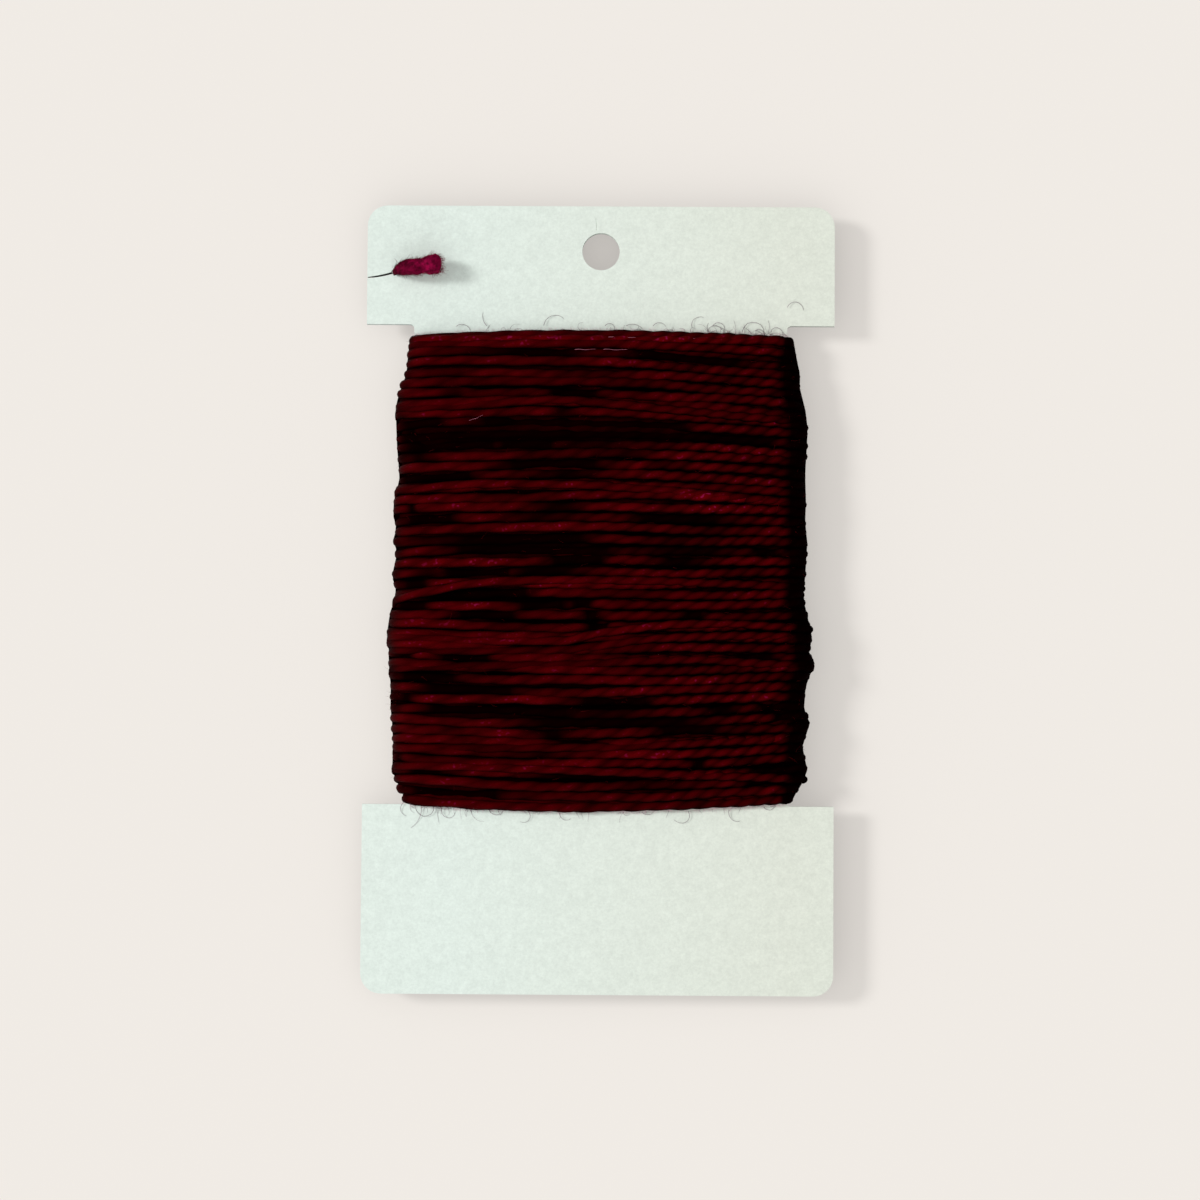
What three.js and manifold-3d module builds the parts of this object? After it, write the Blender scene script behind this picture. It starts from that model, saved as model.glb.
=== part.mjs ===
// Needlepoint thread wound on a stiff paper card, lying on its back.
// Millimetres. +X is the card's right, +Y its hang hole end, +Z the way its front faces.
// The origin lies under the middle of the card, on the surface that the winding rests on.
import * as THREE from "three";
import { mergeVertices } from "three/addons/utils/BufferGeometryUtils.js";
import Module from "manifold-3d";

const wasm = await Module();
wasm.setup();

// The card, cut from one sheet
const CARD_WIDTH = 62.5;
const CARD_HEIGHT = 105;
const CARD_THICKNESS = 0.8;
const CORNER_RADIUS = 2.7;
const TOP_TAB_HEIGHT = 16;
const BOTTOM_TAB_HEIGHT = 25;
const WAIST_WIDTH = 49.8;
const NOTCH_FILLET = 0.6;
const HOLE_DIAMETER = 5;
const HOLE_BELOW_TOP = 6.1;
const CURVE_STEPS = 9;
const CARD_COLOUR = 0xe2ecdf;
const CARD_ROUGHNESS = 0.85;

// The slit that grips the thread's end runs in from the left edge and opens where the thread passes
const SLIT_WIDTH = 0.35;
const SLIT_EDGE_Y = 42.8;
const SLIT_END_X = -27.65;
const SLIT_END_Y = 43.46;
const THREAD_PASSAGE_DIAMETER = 2.1;

// The thread, two plies twisted together
const THREAD_DIAMETER = 1.37;
const THREAD_COLOUR = 0x4a0610;
const TUFT_COLOUR = 0x6b0524;
const THREAD_ROUGHNESS = 0.85;
const GAP = 0.3;

// The winding round the waist
const TURNS = 46;
const WINDING_TOP_Y = 35.05;
const WINDING_BOTTOM_Y = -27.3;
const GROOVE_DEPTH = 0.42;
const END_GROOVE_DEPTH = 0.5;
const CARD_BACK_Z = 3.2;
const BACK_FULL_DEPTH = 3.5;

// Half widths to the left and right of the card's middle, and the winding's rise over the card's front face,
// at each height where the wound form swells or draws in
const WOUND_FORM = [
  { y: 35.05, left: 25.7, right: 25.9, rise: 1.2, backShare: 0.42 },
  { y: 33.3, left: 25.8, right: 26.2, rise: 1.7, backShare: 0.7 },
  { y: 31.7, left: 26.0, right: 26.5, rise: 2.1, backShare: 0.92 },
  { y: 30.0, left: 26.1, right: 26.9, rise: 2.3, backShare: 1 },
  { y: 28.4, left: 26.6, right: 26.8, rise: 2.5, backShare: 1 },
  { y: 26.8, left: 27.2, right: 27.2, rise: 2.8, backShare: 1 },
  { y: 25.2, left: 27.5, right: 27.6, rise: 2.9, backShare: 1 },
  { y: 22.8, left: 27.4, right: 27.9, rise: 2.4, backShare: 1 },
  { y: 20.4, left: 27.3, right: 27.8, rise: 2.8, backShare: 1 },
  { y: 17.2, left: 27.0, right: 27.6, rise: 3.2, backShare: 1 },
  { y: 15.6, left: 26.9, right: 27.6, rise: 3.2, backShare: 1 },
  { y: 13.0, left: 27.6, right: 27.7, rise: 3.3, backShare: 1 },
  { y: 10.8, left: 27.7, right: 27.6, rise: 3.2, backShare: 1 },
  { y: 9.2, left: 27.2, right: 27.7, rise: 3.0, backShare: 1 },
  { y: 7.5, left: 27.7, right: 27.9, rise: 2.7, backShare: 1 },
  { y: 6.0, left: 27.1, right: 27.8, rise: 2.5, backShare: 1 },
  { y: 2.7, left: 27.8, right: 27.6, rise: 3.0, backShare: 1 },
  { y: 1.1, left: 27.2, right: 27.4, rise: 3.1, backShare: 1 },
  { y: -0.5, left: 27.4, right: 27.5, rise: 3.2, backShare: 1 },
  { y: -2.1, left: 28.0, right: 27.9, rise: 3.4, backShare: 1 },
  { y: -5.3, left: 28.4, right: 28.6, rise: 3.5, backShare: 1 },
  { y: -6.9, left: 28.1, right: 28.1, rise: 3.5, backShare: 1 },
  { y: -8.5, left: 28.1, right: 29.0, rise: 3.4, backShare: 1 },
  { y: -10.0, left: 28.0, right: 28.3, rise: 3.4, backShare: 1 },
  { y: -11.7, left: 27.8, right: 27.7, rise: 3.2, backShare: 1 },
  { y: -14.8, left: 27.8, right: 27.5, rise: 2.9, backShare: 1 },
  { y: -16.4, left: 27.6, right: 28.3, rise: 3.3, backShare: 1 },
  { y: -19.6, left: 27.4, right: 27.3, rise: 3.2, backShare: 1 },
  { y: -22.8, left: 27.5, right: 28.0, rise: 2.8, backShare: 0.95 },
  { y: -24.4, left: 27.0, right: 27.3, rise: 2.3, backShare: 0.86 },
  { y: -26.0, left: 25.9, right: 26.3, rise: 1.7, backShare: 0.66 },
  { y: -27.3, left: 25.7, right: 25.7, rise: 1.2, backShare: 0.42 },
];

// How far a turn bows away from level at the middle of the front, and slopes from left to right
const TURN_LINES = [
  { y: 34.4, bow: 0.7, slope: 0.05 },
  { y: 32.0, bow: 0.85, slope: -0.85 },
  { y: 26.0, bow: 0.9, slope: -0.6 },
  { y: 18.0, bow: 0.95, slope: -0.25 },
  { y: 8.0, bow: 0.6, slope: 0.1 },
  { y: 0.0, bow: -0.2, slope: 0.25 },
  { y: -6.0, bow: -0.55, slope: -0.15 },
  { y: -14.0, bow: -0.75, slope: 0.2 },
  { y: -26.6, bow: -1.05, slope: 0.2 },
];

// Points round one turn
const FRONT_STEPS = 10;
const BACK_STEPS = 6;
const EDGE_STEPS = 5;
const EDGE_ROUND_SHARE = 1.1;

// The thread's end leaves the winding's top edge at the back, crosses behind the top tab, comes up through the
// slit and turns over to lie above the front
const LOOSE_END_ROUTE = [
  [20.4, 36.5, 2.35],
  [18.6, 36.9, 2.15],
  [16.4, 37.3, 2.05],
  [12.6, 37.9, 2.0],
  [8.4, 38.5, 2.0],
  [3.9, 39.1, 2.0],
  [-0.8, 39.7, 1.98],
  [-5.6, 40.3, 1.92],
  [-10.4, 40.9, 1.8],
  [-15.0, 41.5, 1.55],
  [-19.0, 42.05, 1.28],
  [-22.4, 42.6, 1.06],
  [-25.03, 43.0, 0.98],
  [-26.34, 43.25, 1.33],
  [-27.3, 43.4, 2.29],
  [-27.65, 43.46, 3.6],
  [-27.3, 43.55, 4.91],
  [-26.34, 43.75, 5.87],
  [-25.03, 44.1, 6.22],
  [-23.6, 44.45, 6.26],
  [-22.2, 44.78, 6.2],
];
const LOOSE_END_STEPS = 48;
const THREAD_SIDES = 8;

// The cut tip, where the plies come untwisted and swell: how thick it is along its length, from its base
const TUFT_BASE = [-26.1, 43.82, 6.0];
const TUFT_TIP = [-21.1, 45.05, 6.2];
const TUFT_PROFILE = [
  { along: 0, radius: 0 },
  { along: 0.08, radius: 0.72 },
  { along: 0.3, radius: 1.15 },
  { along: 0.48, radius: 1.02 },
  { along: 0.76, radius: 1.45 },
  { along: 0.92, radius: 1.25 },
  { along: 0.99, radius: 0.7 },
  { along: 1, radius: 0 },
];
const TUFT_SIDES = 10;

const CARD_MIDDLE_Z = CARD_BACK_Z + CARD_THICKNESS / 2;
const CUTTER_DEPTH = 3 * CARD_THICKNESS;
const CUTTER_OVERRUN = 1;
const MERGE_DISTANCE = 1e-4;

// A part's finish, from its colour, roughness and metalness
function finish(color, roughness) {
  return new THREE.MeshStandardMaterial({ color, roughness, metalness: 0 });
}

// A closed geometry as a solid that can be joined and cut
function solidFrom(geometry) {
  const bare = geometry.clone();
  bare.deleteAttribute("normal");
  bare.deleteAttribute("uv");
  const merged = mergeVertices(bare, MERGE_DISTANCE);
  return new wasm.Manifold(
    new wasm.Mesh({
      numProp: 3,
      vertProperties: merged.attributes.position.array,
      triVerts: new Uint32Array(merged.index.array),
    }),
  );
}

// A solid as a geometry again
function geometryFrom(solid) {
  const mesh = solid.getMesh();
  const geometry = new THREE.BufferGeometry();
  geometry.setAttribute("position", new THREE.BufferAttribute(new Float32Array(mesh.vertProperties), 3));
  geometry.setIndex(new THREE.BufferAttribute(new Uint32Array(mesh.triVerts), 1));
  geometry.computeVertexNormals();
  return geometry;
}

// One named piece of the object
function piece(name, geometry, material) {
  const mesh = new THREE.Mesh(geometry, material);
  mesh.name = name;
  return mesh;
}

// The row of a table at height y, each column blended between the two rows around it
function rowAt(table, y) {
  const found = table.findIndex((row) => row.y <= y);
  const below = found < 0 ? table.length - 1 : Math.max(found, 1);
  const upper = table[below - 1];
  const lower = table[below];
  const share = THREE.MathUtils.clamp((upper.y - y) / (upper.y - lower.y), 0, 1);
  const blended = {};
  for (const column of Object.keys(upper)) {
    blended[column] = THREE.MathUtils.lerp(upper[column], lower[column], share);
  }
  return blended;
}

// The card's outline, with its outer corners round and the inner corners of its notches filleted, grown all round
function cardOutline(grow) {
  const side = CARD_WIDTH / 2 + grow;
  const waist = WAIST_WIDTH / 2 + grow;
  const top = CARD_HEIGHT / 2 + grow;
  const notchTop = CARD_HEIGHT / 2 - TOP_TAB_HEIGHT - grow;
  const notchBottom = BOTTOM_TAB_HEIGHT - CARD_HEIGHT / 2 + grow;
  const r = CORNER_RADIUS + grow;
  const f = NOTCH_FILLET - grow;
  const quarter = Math.PI / 2;
  const outline = new THREE.Shape();
  outline.moveTo(-side + r, -top);
  outline.absarc(side - r, -top + r, r, -quarter, 0, false);
  outline.lineTo(side, notchBottom);
  outline.absarc(waist + f, notchBottom + f, f, -quarter, -2 * quarter, true);
  outline.absarc(waist + f, notchTop - f, f, 2 * quarter, quarter, true);
  outline.lineTo(side, notchTop);
  outline.absarc(side - r, top - r, r, 0, quarter, false);
  outline.absarc(-side + r, top - r, r, quarter, 2 * quarter, false);
  outline.lineTo(-side, notchTop);
  outline.absarc(-waist - f, notchTop - f, f, quarter, 0, true);
  outline.absarc(-waist - f, notchBottom + f, f, 0, -quarter, true);
  outline.lineTo(-side, notchBottom);
  outline.absarc(-side + r, -top + r, r, 2 * quarter, 3 * quarter, false);
  return outline;
}

// The sheet between two heights that has this outline
function sheetOf(outline, lowZ, highZ) {
  const sheet = new THREE.ExtrudeGeometry(outline, {
    depth: highZ - lowZ,
    bevelEnabled: false,
    curveSegments: CURVE_STEPS,
  });
  sheet.translate(0, 0, lowZ);
  return sheet;
}

// The slit's cutter, which runs a little past the card's edge and both its faces
function slitCutter() {
  const run = CARD_WIDTH / 2 + SLIT_END_X;
  const reach = run + CUTTER_OVERRUN;
  const slit = new THREE.BoxGeometry(reach, SLIT_WIDTH, CUTTER_DEPTH);
  slit.translate(-reach / 2, 0, 0);
  slit.rotateZ(Math.atan2(SLIT_END_Y - SLIT_EDGE_Y, run));
  slit.translate(SLIT_END_X, SLIT_END_Y, CARD_MIDDLE_Z);
  return slit;
}

function makeCard() {
  const outline = cardOutline(0);
  const hole = new THREE.Path();
  hole.absarc(0, CARD_HEIGHT / 2 - HOLE_BELOW_TOP, HOLE_DIAMETER / 2, 0, 2 * Math.PI, true);
  outline.holes.push(hole);
  const sheet = sheetOf(outline, CARD_BACK_Z, CARD_BACK_Z + CARD_THICKNESS);
  const passage = new THREE.CylinderGeometry(
    THREAD_PASSAGE_DIAMETER / 2,
    THREAD_PASSAGE_DIAMETER / 2,
    CUTTER_DEPTH,
    2 * CURVE_STEPS,
  );
  passage.rotateX(Math.PI / 2);
  passage.translate(SLIT_END_X, SLIT_END_Y, CARD_MIDDLE_Z);
  const cut = solidFrom(sheet).subtract(solidFrom(slitCutter())).subtract(solidFrom(passage));
  return piece("card", geometryFrom(cut), finish(CARD_COLOUR, CARD_ROUGHNESS));
}

// The points of a turn's outer surface, clockwise from the front's left: flat over the card, round over its edges
function turnSection(row) {
  const front = CARD_THICKNESS / 2 + row.rise;
  const back = CARD_THICKNESS / 2 + BACK_FULL_DEPTH * row.backShare;
  const round = EDGE_ROUND_SHARE * Math.max(front, back);
  const points = [];
  const flat = (steps, fromX, toX, z) => {
    for (let i = 0; i < steps; i += 1) {
      points.push([THREE.MathUtils.lerp(fromX, toX, i / steps), z]);
    }
  };
  const edge = (centreX, side, fromReach, toReach) => {
    for (let i = 0; i < 2 * EDGE_STEPS; i += 1) {
      const turn = (i / (2 * EDGE_STEPS)) * Math.PI;
      const reach = i < EDGE_STEPS ? fromReach : toReach;
      points.push([centreX + side * round * Math.sin(turn), side * reach * Math.cos(turn)]);
    }
  };
  flat(FRONT_STEPS, -row.left + round, row.right - round, front);
  edge(row.right - round, 1, front, back);
  flat(BACK_STEPS, row.right - round, -row.left + round, -back);
  edge(-row.left + round, -1, back, front);
  return points;
}

// A crest for each turn and a groove between two turns, from the top edge to the bottom edge
function stations() {
  const pitch = (WINDING_TOP_Y - WINDING_BOTTOM_Y) / TURNS;
  const list = [];
  for (let half = 0; half <= 2 * TURNS; half += 1) {
    const atEnd = half === 0 || half === 2 * TURNS;
    const groove = half % 2 === 0;
    const depth = atEnd ? END_GROOVE_DEPTH : GROOVE_DEPTH;
    list.push({ y: WINDING_TOP_Y - (half * pitch) / 2, depth: groove ? depth : 0 });
  }
  return list;
}

// The ring of points of one station, bowed and sloped as that turn lies
function stationRing({ y, depth }) {
  const form = rowAt(WOUND_FORM, y);
  const line = rowAt(TURN_LINES, y);
  const row = {
    left: form.left - depth,
    right: form.right - depth,
    rise: form.rise - depth,
    backShare: form.backShare - depth / BACK_FULL_DEPTH,
  };
  return turnSection(row).map(([x, z]) => {
    const across = x / (x < 0 ? form.left : form.right);
    const drift = line.bow * (1 - across * across) + line.slope * across;
    return new THREE.Vector3(x, y + drift, CARD_MIDDLE_Z + z);
  });
}

// The solid between rings: its skin, and an end face across the first and the last ring
function loft(rings) {
  const around = rings[0].length;
  const positions = rings.flat().flatMap((p) => [p.x, p.y, p.z]);
  const index = [];
  for (let s = 0; s + 1 < rings.length; s += 1) {
    for (let i = 0; i < around; i += 1) {
      const a = s * around + i;
      const b = s * around + ((i + 1) % around);
      index.push(a, a + around, b, b, a + around, b + around);
    }
  }
  const endFace = (ring, centre, flip) => {
    positions.push(centre.x, centre.y, centre.z);
    const middle = positions.length / 3 - 1;
    for (let i = 0; i < around; i += 1) {
      const a = ring * around + i;
      const b = ring * around + ((i + 1) % around);
      index.push(middle, flip ? b : a, flip ? a : b);
    }
  };
  const centreOf = (ring) => ring.reduce((sum, p) => sum.add(p), new THREE.Vector3()).divideScalar(around);
  endFace(0, centreOf(rings[0]), false);
  endFace(rings.length - 1, centreOf(rings[rings.length - 1]), true);
  const geometry = new THREE.BufferGeometry();
  geometry.setAttribute("position", new THREE.Float32BufferAttribute(positions, 3));
  geometry.setIndex(index);
  return geometry;
}

function makeWinding() {
  const wound = solidFrom(loft(stations().map(stationRing)));
  const under = new THREE.BoxGeometry(CARD_WIDTH, CARD_HEIGHT, CARD_BACK_Z);
  under.translate(0, 0, -CARD_BACK_Z / 2);
  const room = sheetOf(cardOutline(GAP), CARD_BACK_Z - GAP, CARD_BACK_Z + CARD_THICKNESS + GAP);
  const rested = wound.subtract(solidFrom(room)).subtract(solidFrom(under));
  return piece("winding", geometryFrom(rested), finish(THREAD_COLOUR, THREAD_ROUGHNESS));
}

// The swollen tip, turned from its profile and laid from base to tip
function tuft() {
  const base = new THREE.Vector3(...TUFT_BASE);
  const run = new THREE.Vector3(...TUFT_TIP).sub(base);
  const length = run.length();
  const profile = TUFT_PROFILE.map(({ along, radius }) => new THREE.Vector2(radius, along * length));
  const swell = new THREE.LatheGeometry(profile, TUFT_SIDES);
  const upright = new THREE.Vector3(0, 1, 0);
  swell.applyQuaternion(new THREE.Quaternion().setFromUnitVectors(upright, run.normalize()));
  swell.translate(base.x, base.y, base.z);
  return swell;
}

function makeLooseEnd() {
  const section = new THREE.Shape();
  for (let i = 0; i < THREAD_SIDES; i += 1) {
    const turn = (i / THREAD_SIDES) * 2 * Math.PI;
    const x = (THREAD_DIAMETER / 2) * Math.cos(turn);
    const y = (THREAD_DIAMETER / 2) * Math.sin(turn);
    if (i === 0) {
      section.moveTo(x, y);
    } else {
      section.lineTo(x, y);
    }
  }
  const route = new THREE.CatmullRomCurve3(LOOSE_END_ROUTE.map(([x, y, z]) => new THREE.Vector3(x, y, z)));
  const thread = new THREE.ExtrudeGeometry(section, {
    steps: LOOSE_END_STEPS,
    extrudePath: route,
    curveSegments: 1,
  });
  const whole = solidFrom(thread).add(solidFrom(tuft()));
  return piece("loose_end", geometryFrom(whole), finish(TUFT_COLOUR, THREAD_ROUGHNESS));
}

const skein = new THREE.Group();
skein.add(makeCard(), makeWinding(), makeLooseEnd());
export default skein;
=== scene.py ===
import math

import bpy
import numpy as np
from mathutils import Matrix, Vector


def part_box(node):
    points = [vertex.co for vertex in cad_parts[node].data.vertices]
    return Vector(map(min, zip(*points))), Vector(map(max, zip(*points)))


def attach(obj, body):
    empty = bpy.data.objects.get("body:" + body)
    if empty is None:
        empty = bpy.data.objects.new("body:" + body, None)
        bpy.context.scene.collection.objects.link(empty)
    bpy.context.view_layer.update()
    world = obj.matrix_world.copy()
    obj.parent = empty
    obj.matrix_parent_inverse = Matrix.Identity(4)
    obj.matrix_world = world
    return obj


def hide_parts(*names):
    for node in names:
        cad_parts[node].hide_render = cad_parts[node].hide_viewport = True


bl_info = {
    "name": "Thread card",
    "version": (1, 0, 0),
    "blender": (4, 5, 0),
    "location": "3D View > Sidebar > Thread card",
    "description": "Needlepoint thread wound on a stiff paper card, with its studio stage",
    "category": "Add Mesh",
}

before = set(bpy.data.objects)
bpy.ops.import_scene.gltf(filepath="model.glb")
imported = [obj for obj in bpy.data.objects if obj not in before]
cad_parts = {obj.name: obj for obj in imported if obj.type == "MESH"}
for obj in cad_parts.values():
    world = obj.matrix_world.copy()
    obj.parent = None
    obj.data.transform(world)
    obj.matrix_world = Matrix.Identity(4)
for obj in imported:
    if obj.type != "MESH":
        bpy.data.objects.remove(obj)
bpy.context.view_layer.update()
BODY = "root"

# Sizes below are in millimetres, in the frame's own axes, and become metres when a mesh is made
MM = 0.001
CARD_LOW, CARD_HIGH = (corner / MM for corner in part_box("card"))
CARD_BACK_Z, CARD_FRONT_Z = CARD_LOW.z, CARD_HIGH.z
CARD_MIDDLE_Z = (CARD_BACK_Z + CARD_FRONT_Z) / 2
CARD_THICKNESS = CARD_FRONT_Z - CARD_BACK_Z

# The notches that make the card's waist
NOTCH_TOP_Y = 36.5
NOTCH_BOTTOM_Y = -27.5
WAIST_HALF_WIDTH = 24.9

# The slit that grips the thread's end: from the left edge to the passage where the thread comes up
HOLE_CENTRE = (0.0, 46.4)
SLIT_EDGE = (-31.25, 42.8)
SLIT_END = (-27.65, 43.46)
SLIT_SAG = 0.12
PASSAGE_RADIUS = 0.42

# The winding
TURNS = 46
WINDING_TOP_Y = 35.05
WINDING_BOTTOM_Y = -27.3
PITCH = (WINDING_TOP_Y - WINDING_BOTTOM_Y) / TURNS
BACK_FULL_DEPTH = 3.5
EDGE_ROUND_SHARE = 1.1

# Each turn steps down to the next behind the card, between these shares of its way round
STEP_DOWN_FROM, STEP_DOWN_TO = 0.5, 0.94

# Half widths to the left and right of the card's middle, the rise over the card's front face, and the
# share of the full depth behind its back face, at each height where the wound form swells or draws in
FORM_COLUMNS = ("y", "left", "right", "rise", "back_share")
WOUND_FORM = (
    (35.05, 25.7, 25.9, 1.2, 0.42),
    (33.3, 25.8, 26.2, 1.7, 0.7),
    (31.7, 26.0, 26.5, 2.1, 0.92),
    (30.0, 26.1, 26.9, 2.3, 1),
    (28.4, 26.6, 26.8, 2.5, 1),
    (26.8, 27.2, 27.2, 2.8, 1),
    (25.2, 27.5, 27.6, 2.9, 1),
    (22.8, 27.4, 27.9, 2.4, 1),
    (20.4, 27.3, 27.8, 2.8, 1),
    (17.2, 27.0, 27.6, 3.2, 1),
    (15.6, 26.9, 27.6, 3.2, 1),
    (13.0, 27.6, 27.7, 3.3, 1),
    (10.8, 27.7, 27.6, 3.2, 1),
    (9.2, 27.2, 27.7, 3.0, 1),
    (7.5, 27.7, 27.9, 2.7, 1),
    (6.0, 27.1, 27.8, 2.5, 1),
    (2.7, 27.8, 27.6, 3.0, 1),
    (1.1, 27.2, 27.4, 3.1, 1),
    (-0.5, 27.4, 27.5, 3.2, 1),
    (-2.1, 28.0, 27.9, 3.4, 1),
    (-5.3, 28.4, 28.6, 3.5, 1),
    (-6.9, 28.1, 28.1, 3.5, 1),
    (-8.5, 28.1, 29.0, 3.4, 1),
    (-10.0, 28.0, 28.3, 3.4, 1),
    (-11.7, 27.8, 27.7, 3.2, 1),
    (-14.8, 27.8, 27.5, 2.9, 1),
    (-16.4, 27.6, 28.3, 3.3, 1),
    (-19.6, 27.4, 27.3, 3.2, 1),
    (-22.8, 27.5, 28.0, 2.8, 0.95),
    (-24.4, 27.0, 27.3, 2.3, 0.86),
    (-26.0, 25.9, 26.3, 1.7, 0.66),
    (-27.3, 25.7, 25.7, 1.2, 0.42),
)

# How far a turn bows away from level at the middle of the front, and slopes from left to right
LINE_COLUMNS = ("y", "bow", "slope")
TURN_LINES = (
    (34.4, 0.7, 0.05),
    (32.0, 0.85, -0.85),
    (26.0, 0.9, -0.6),
    (18.0, 0.95, -0.25),
    (8.0, 0.6, 0.1),
    (0.0, -0.2, 0.25),
    (-6.0, -0.55, -0.15),
    (-14.0, -0.75, 0.2),
    (-26.6, -1.05, 0.2),
)

# Long hollows where turns have sunk and drawn apart: from where to where they run, their height at the
# middle, how far they reach up and down, how deep they are and how they climb to the right
HOLLOW_COLUMNS = ("left", "right", "y", "height", "depth", "climb")
HOLLOWS = (
    (-27.0, -20.5, 21.0, 1.7, 2.1, 0.08),
    (-21.7, -13.2, 21.6, 1.2, 2.1, 0.05),
    (-14.6, -5.3, 22.0, 1.3, 2.1, 0.0),
    (-6.6, 4.0, 22.0, 1.2, 2.1, 0.0),
    (2.7, 11.9, 21.9, 1.1, 2.1, -0.03),
    (11.9, 23.9, 21.2, 0.6, 1.3, -0.07),
    (-17.3, 1.5, 32.9, 0.37, 0.8, 0.02),
    (3.4, 20.4, 32.0, 0.37, 0.8, -0.06),
    (-25.3, 7.1, 30.6, 0.37, 0.8, 0.0),
    (-19.5, -8.9, 27.7, 0.43, 0.9, 0.0),
    (-7.0, -1.3, 27.3, 0.5, 1.1, -0.05),
    (2.5, 12.0, 27.7, 0.37, 0.8, -0.1),
    (-21.8, -18.0, 26.6, 0.37, 0.8, 0.0),
    (-7.2, -2.6, 24.8, 0.37, 0.8, 0.0),
    (0.0, 6.7, 18.7, 0.37, 0.8, 0.0),
    (-10.8, 1.6, 17.6, 0.43, 0.9, 0.0),
    (7.6, 14.3, 17.2, 0.35, 0.6, 0.0),
    (-25.8, -17.0, 15.7, 0.57, 1.2, 0.0),
    (-12.9, -1.5, 16.1, 0.35, 0.6, 0.0),
    (-17.4, -9.2, 13.8, 0.35, 0.6, 0.0),
    (-9.2, 0.1, 12.4, 0.37, 0.7, 0.0),
    (-26.9, -24.9, 11.8, 0.43, 0.9, 0.0),
    (-11.8, 1.4, 11.1, 0.43, 0.9, 0.0),
    (-26.6, -18.0, 10.1, 0.5, 1.1, 0.0),
    (5.8, 19.9, 10.0, 0.37, 0.8, -0.02),
    (2.8, 20.3, 8.3, 0.47, 1.0, 0.0),
    (-16.8, 0.1, 7.9, 0.43, 0.9, 0.01),
    (-20.1, 0.1, 6.2, 0.57, 1.2, 0.02),
    (0.1, 20.0, 6.7, 0.43, 0.9, 0.0),
    (19.5, 23.5, 6.0, 0.5, 1.1, 0.0),
    (6.3, 14.3, 5.2, 0.43, 0.9, 0.0),
    (-7.8, 0.1, 4.4, 0.6, 1.3, 0.05),
    (0.1, 23.3, 4.1, 0.37, 0.8, 0.0),
    (-26.7, -22.3, 2.2, 0.63, 1.4, 0.0),
    (-20.6, -13.1, 3.0, 0.55, 1.4, 0.04),
    (-12.1, 0.1, 3.3, 0.37, 0.8, 0.0),
    (18.6, 21.9, 2.1, 0.43, 0.9, 0.0),
    (-26.7, -21.2, -1.1, 0.5, 1.2, 0.1),
    (-21.2, -15.3, 0.2, 0.77, 1.7, 0.05),
    (-15.3, -4.2, -0.3, 0.63, 1.5, -0.07),
    (-3.1, 0.2, -1.1, 0.43, 0.9, 0.0),
    (-19.6, -12.4, -2.5, 0.43, 0.9, 0.04),
    (-13.0, -3.4, -3.3, 0.43, 0.9, 0.02),
    (-2.7, 0.4, -3.3, 0.7, 1.6, 0.0),
    (9.7, 14.3, -2.8, 0.37, 0.8, 0.03),
    (21.3, 27.2, -3.9, 0.57, 1.2, 0.0),
    (-11.7, -5.7, -6.6, 0.37, 0.8, 0.02),
    (-4.7, 4.4, -6.2, 0.43, 0.9, 0.03),
    (17.8, 25.5, -7.9, 0.37, 0.8, -0.06),
    (-20.0, -12.6, -8.0, 0.5, 1.1, -0.02),
    (-27.3, -23.6, -7.7, 0.5, 1.1, 0.0),
    (-15.2, -9.0, -10.0, 0.43, 0.9, 0.0),
    (-27.2, -20.0, -10.4, 0.7, 1.5, 0.0),
    (-24.4, 0.2, -12.0, 0.35, 0.8, 0.0),
    (-27.2, -23.8, -14.0, 0.57, 1.2, 0.0),
    (-21.1, -5.7, -15.0, 0.5, 1.2, -0.01),
    (-3.3, 8.6, -14.5, 0.63, 1.5, 0.0),
    (11.7, 19.0, -14.4, 0.37, 0.8, 0.0),
    (21.7, 25.0, -15.0, 0.77, 1.6, 0.0),
    (-5.7, 14.4, -16.2, 0.43, 0.9, 0.0),
    (-9.4, -3.3, -17.7, 0.37, 0.8, -0.05),
    (6.5, 13.2, -17.7, 0.37, 0.8, 0.0),
    (-15.9, -5.0, -20.2, 0.37, 0.8, -0.05),
    (-5.7, 0.3, -19.4, 0.37, 0.8, 0.0),
    (-27.0, -25.0, -22.0, 0.63, 1.4, 0.0),
    (-26.0, -19.1, -23.2, 0.37, 0.8, 0.0),
    (12.1, 15.4, -21.5, 0.5, 1.1, 0.0),
    (6.5, 20.0, -22.6, 0.37, 0.8, 0.0),
    (20.0, 26.6, -22.3, 0.63, 1.4, 0.0),
    (-10.0, 11.2, -24.0, 0.5, 1.1, 0.0),
    (17.5, 25.4, -24.3, 0.43, 0.9, 0.0),
    (-25.2, -15.1, -25.7, 0.5, 1.2, -0.07),
    (3.3, 9.9, -25.3, 0.43, 0.9, 0.0),
)

# How far the turns beside a hollow move off, for one hollow and at most, and how raggedly its ends shift
# from one turn to the next
HOLLOW_SPREAD = 0.22
HOLLOW_SPREAD_MOST = 0.45
HOLLOW_RAGGED = 1.3
HOLLOW_RAGGED_WAVE = 3.7

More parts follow.
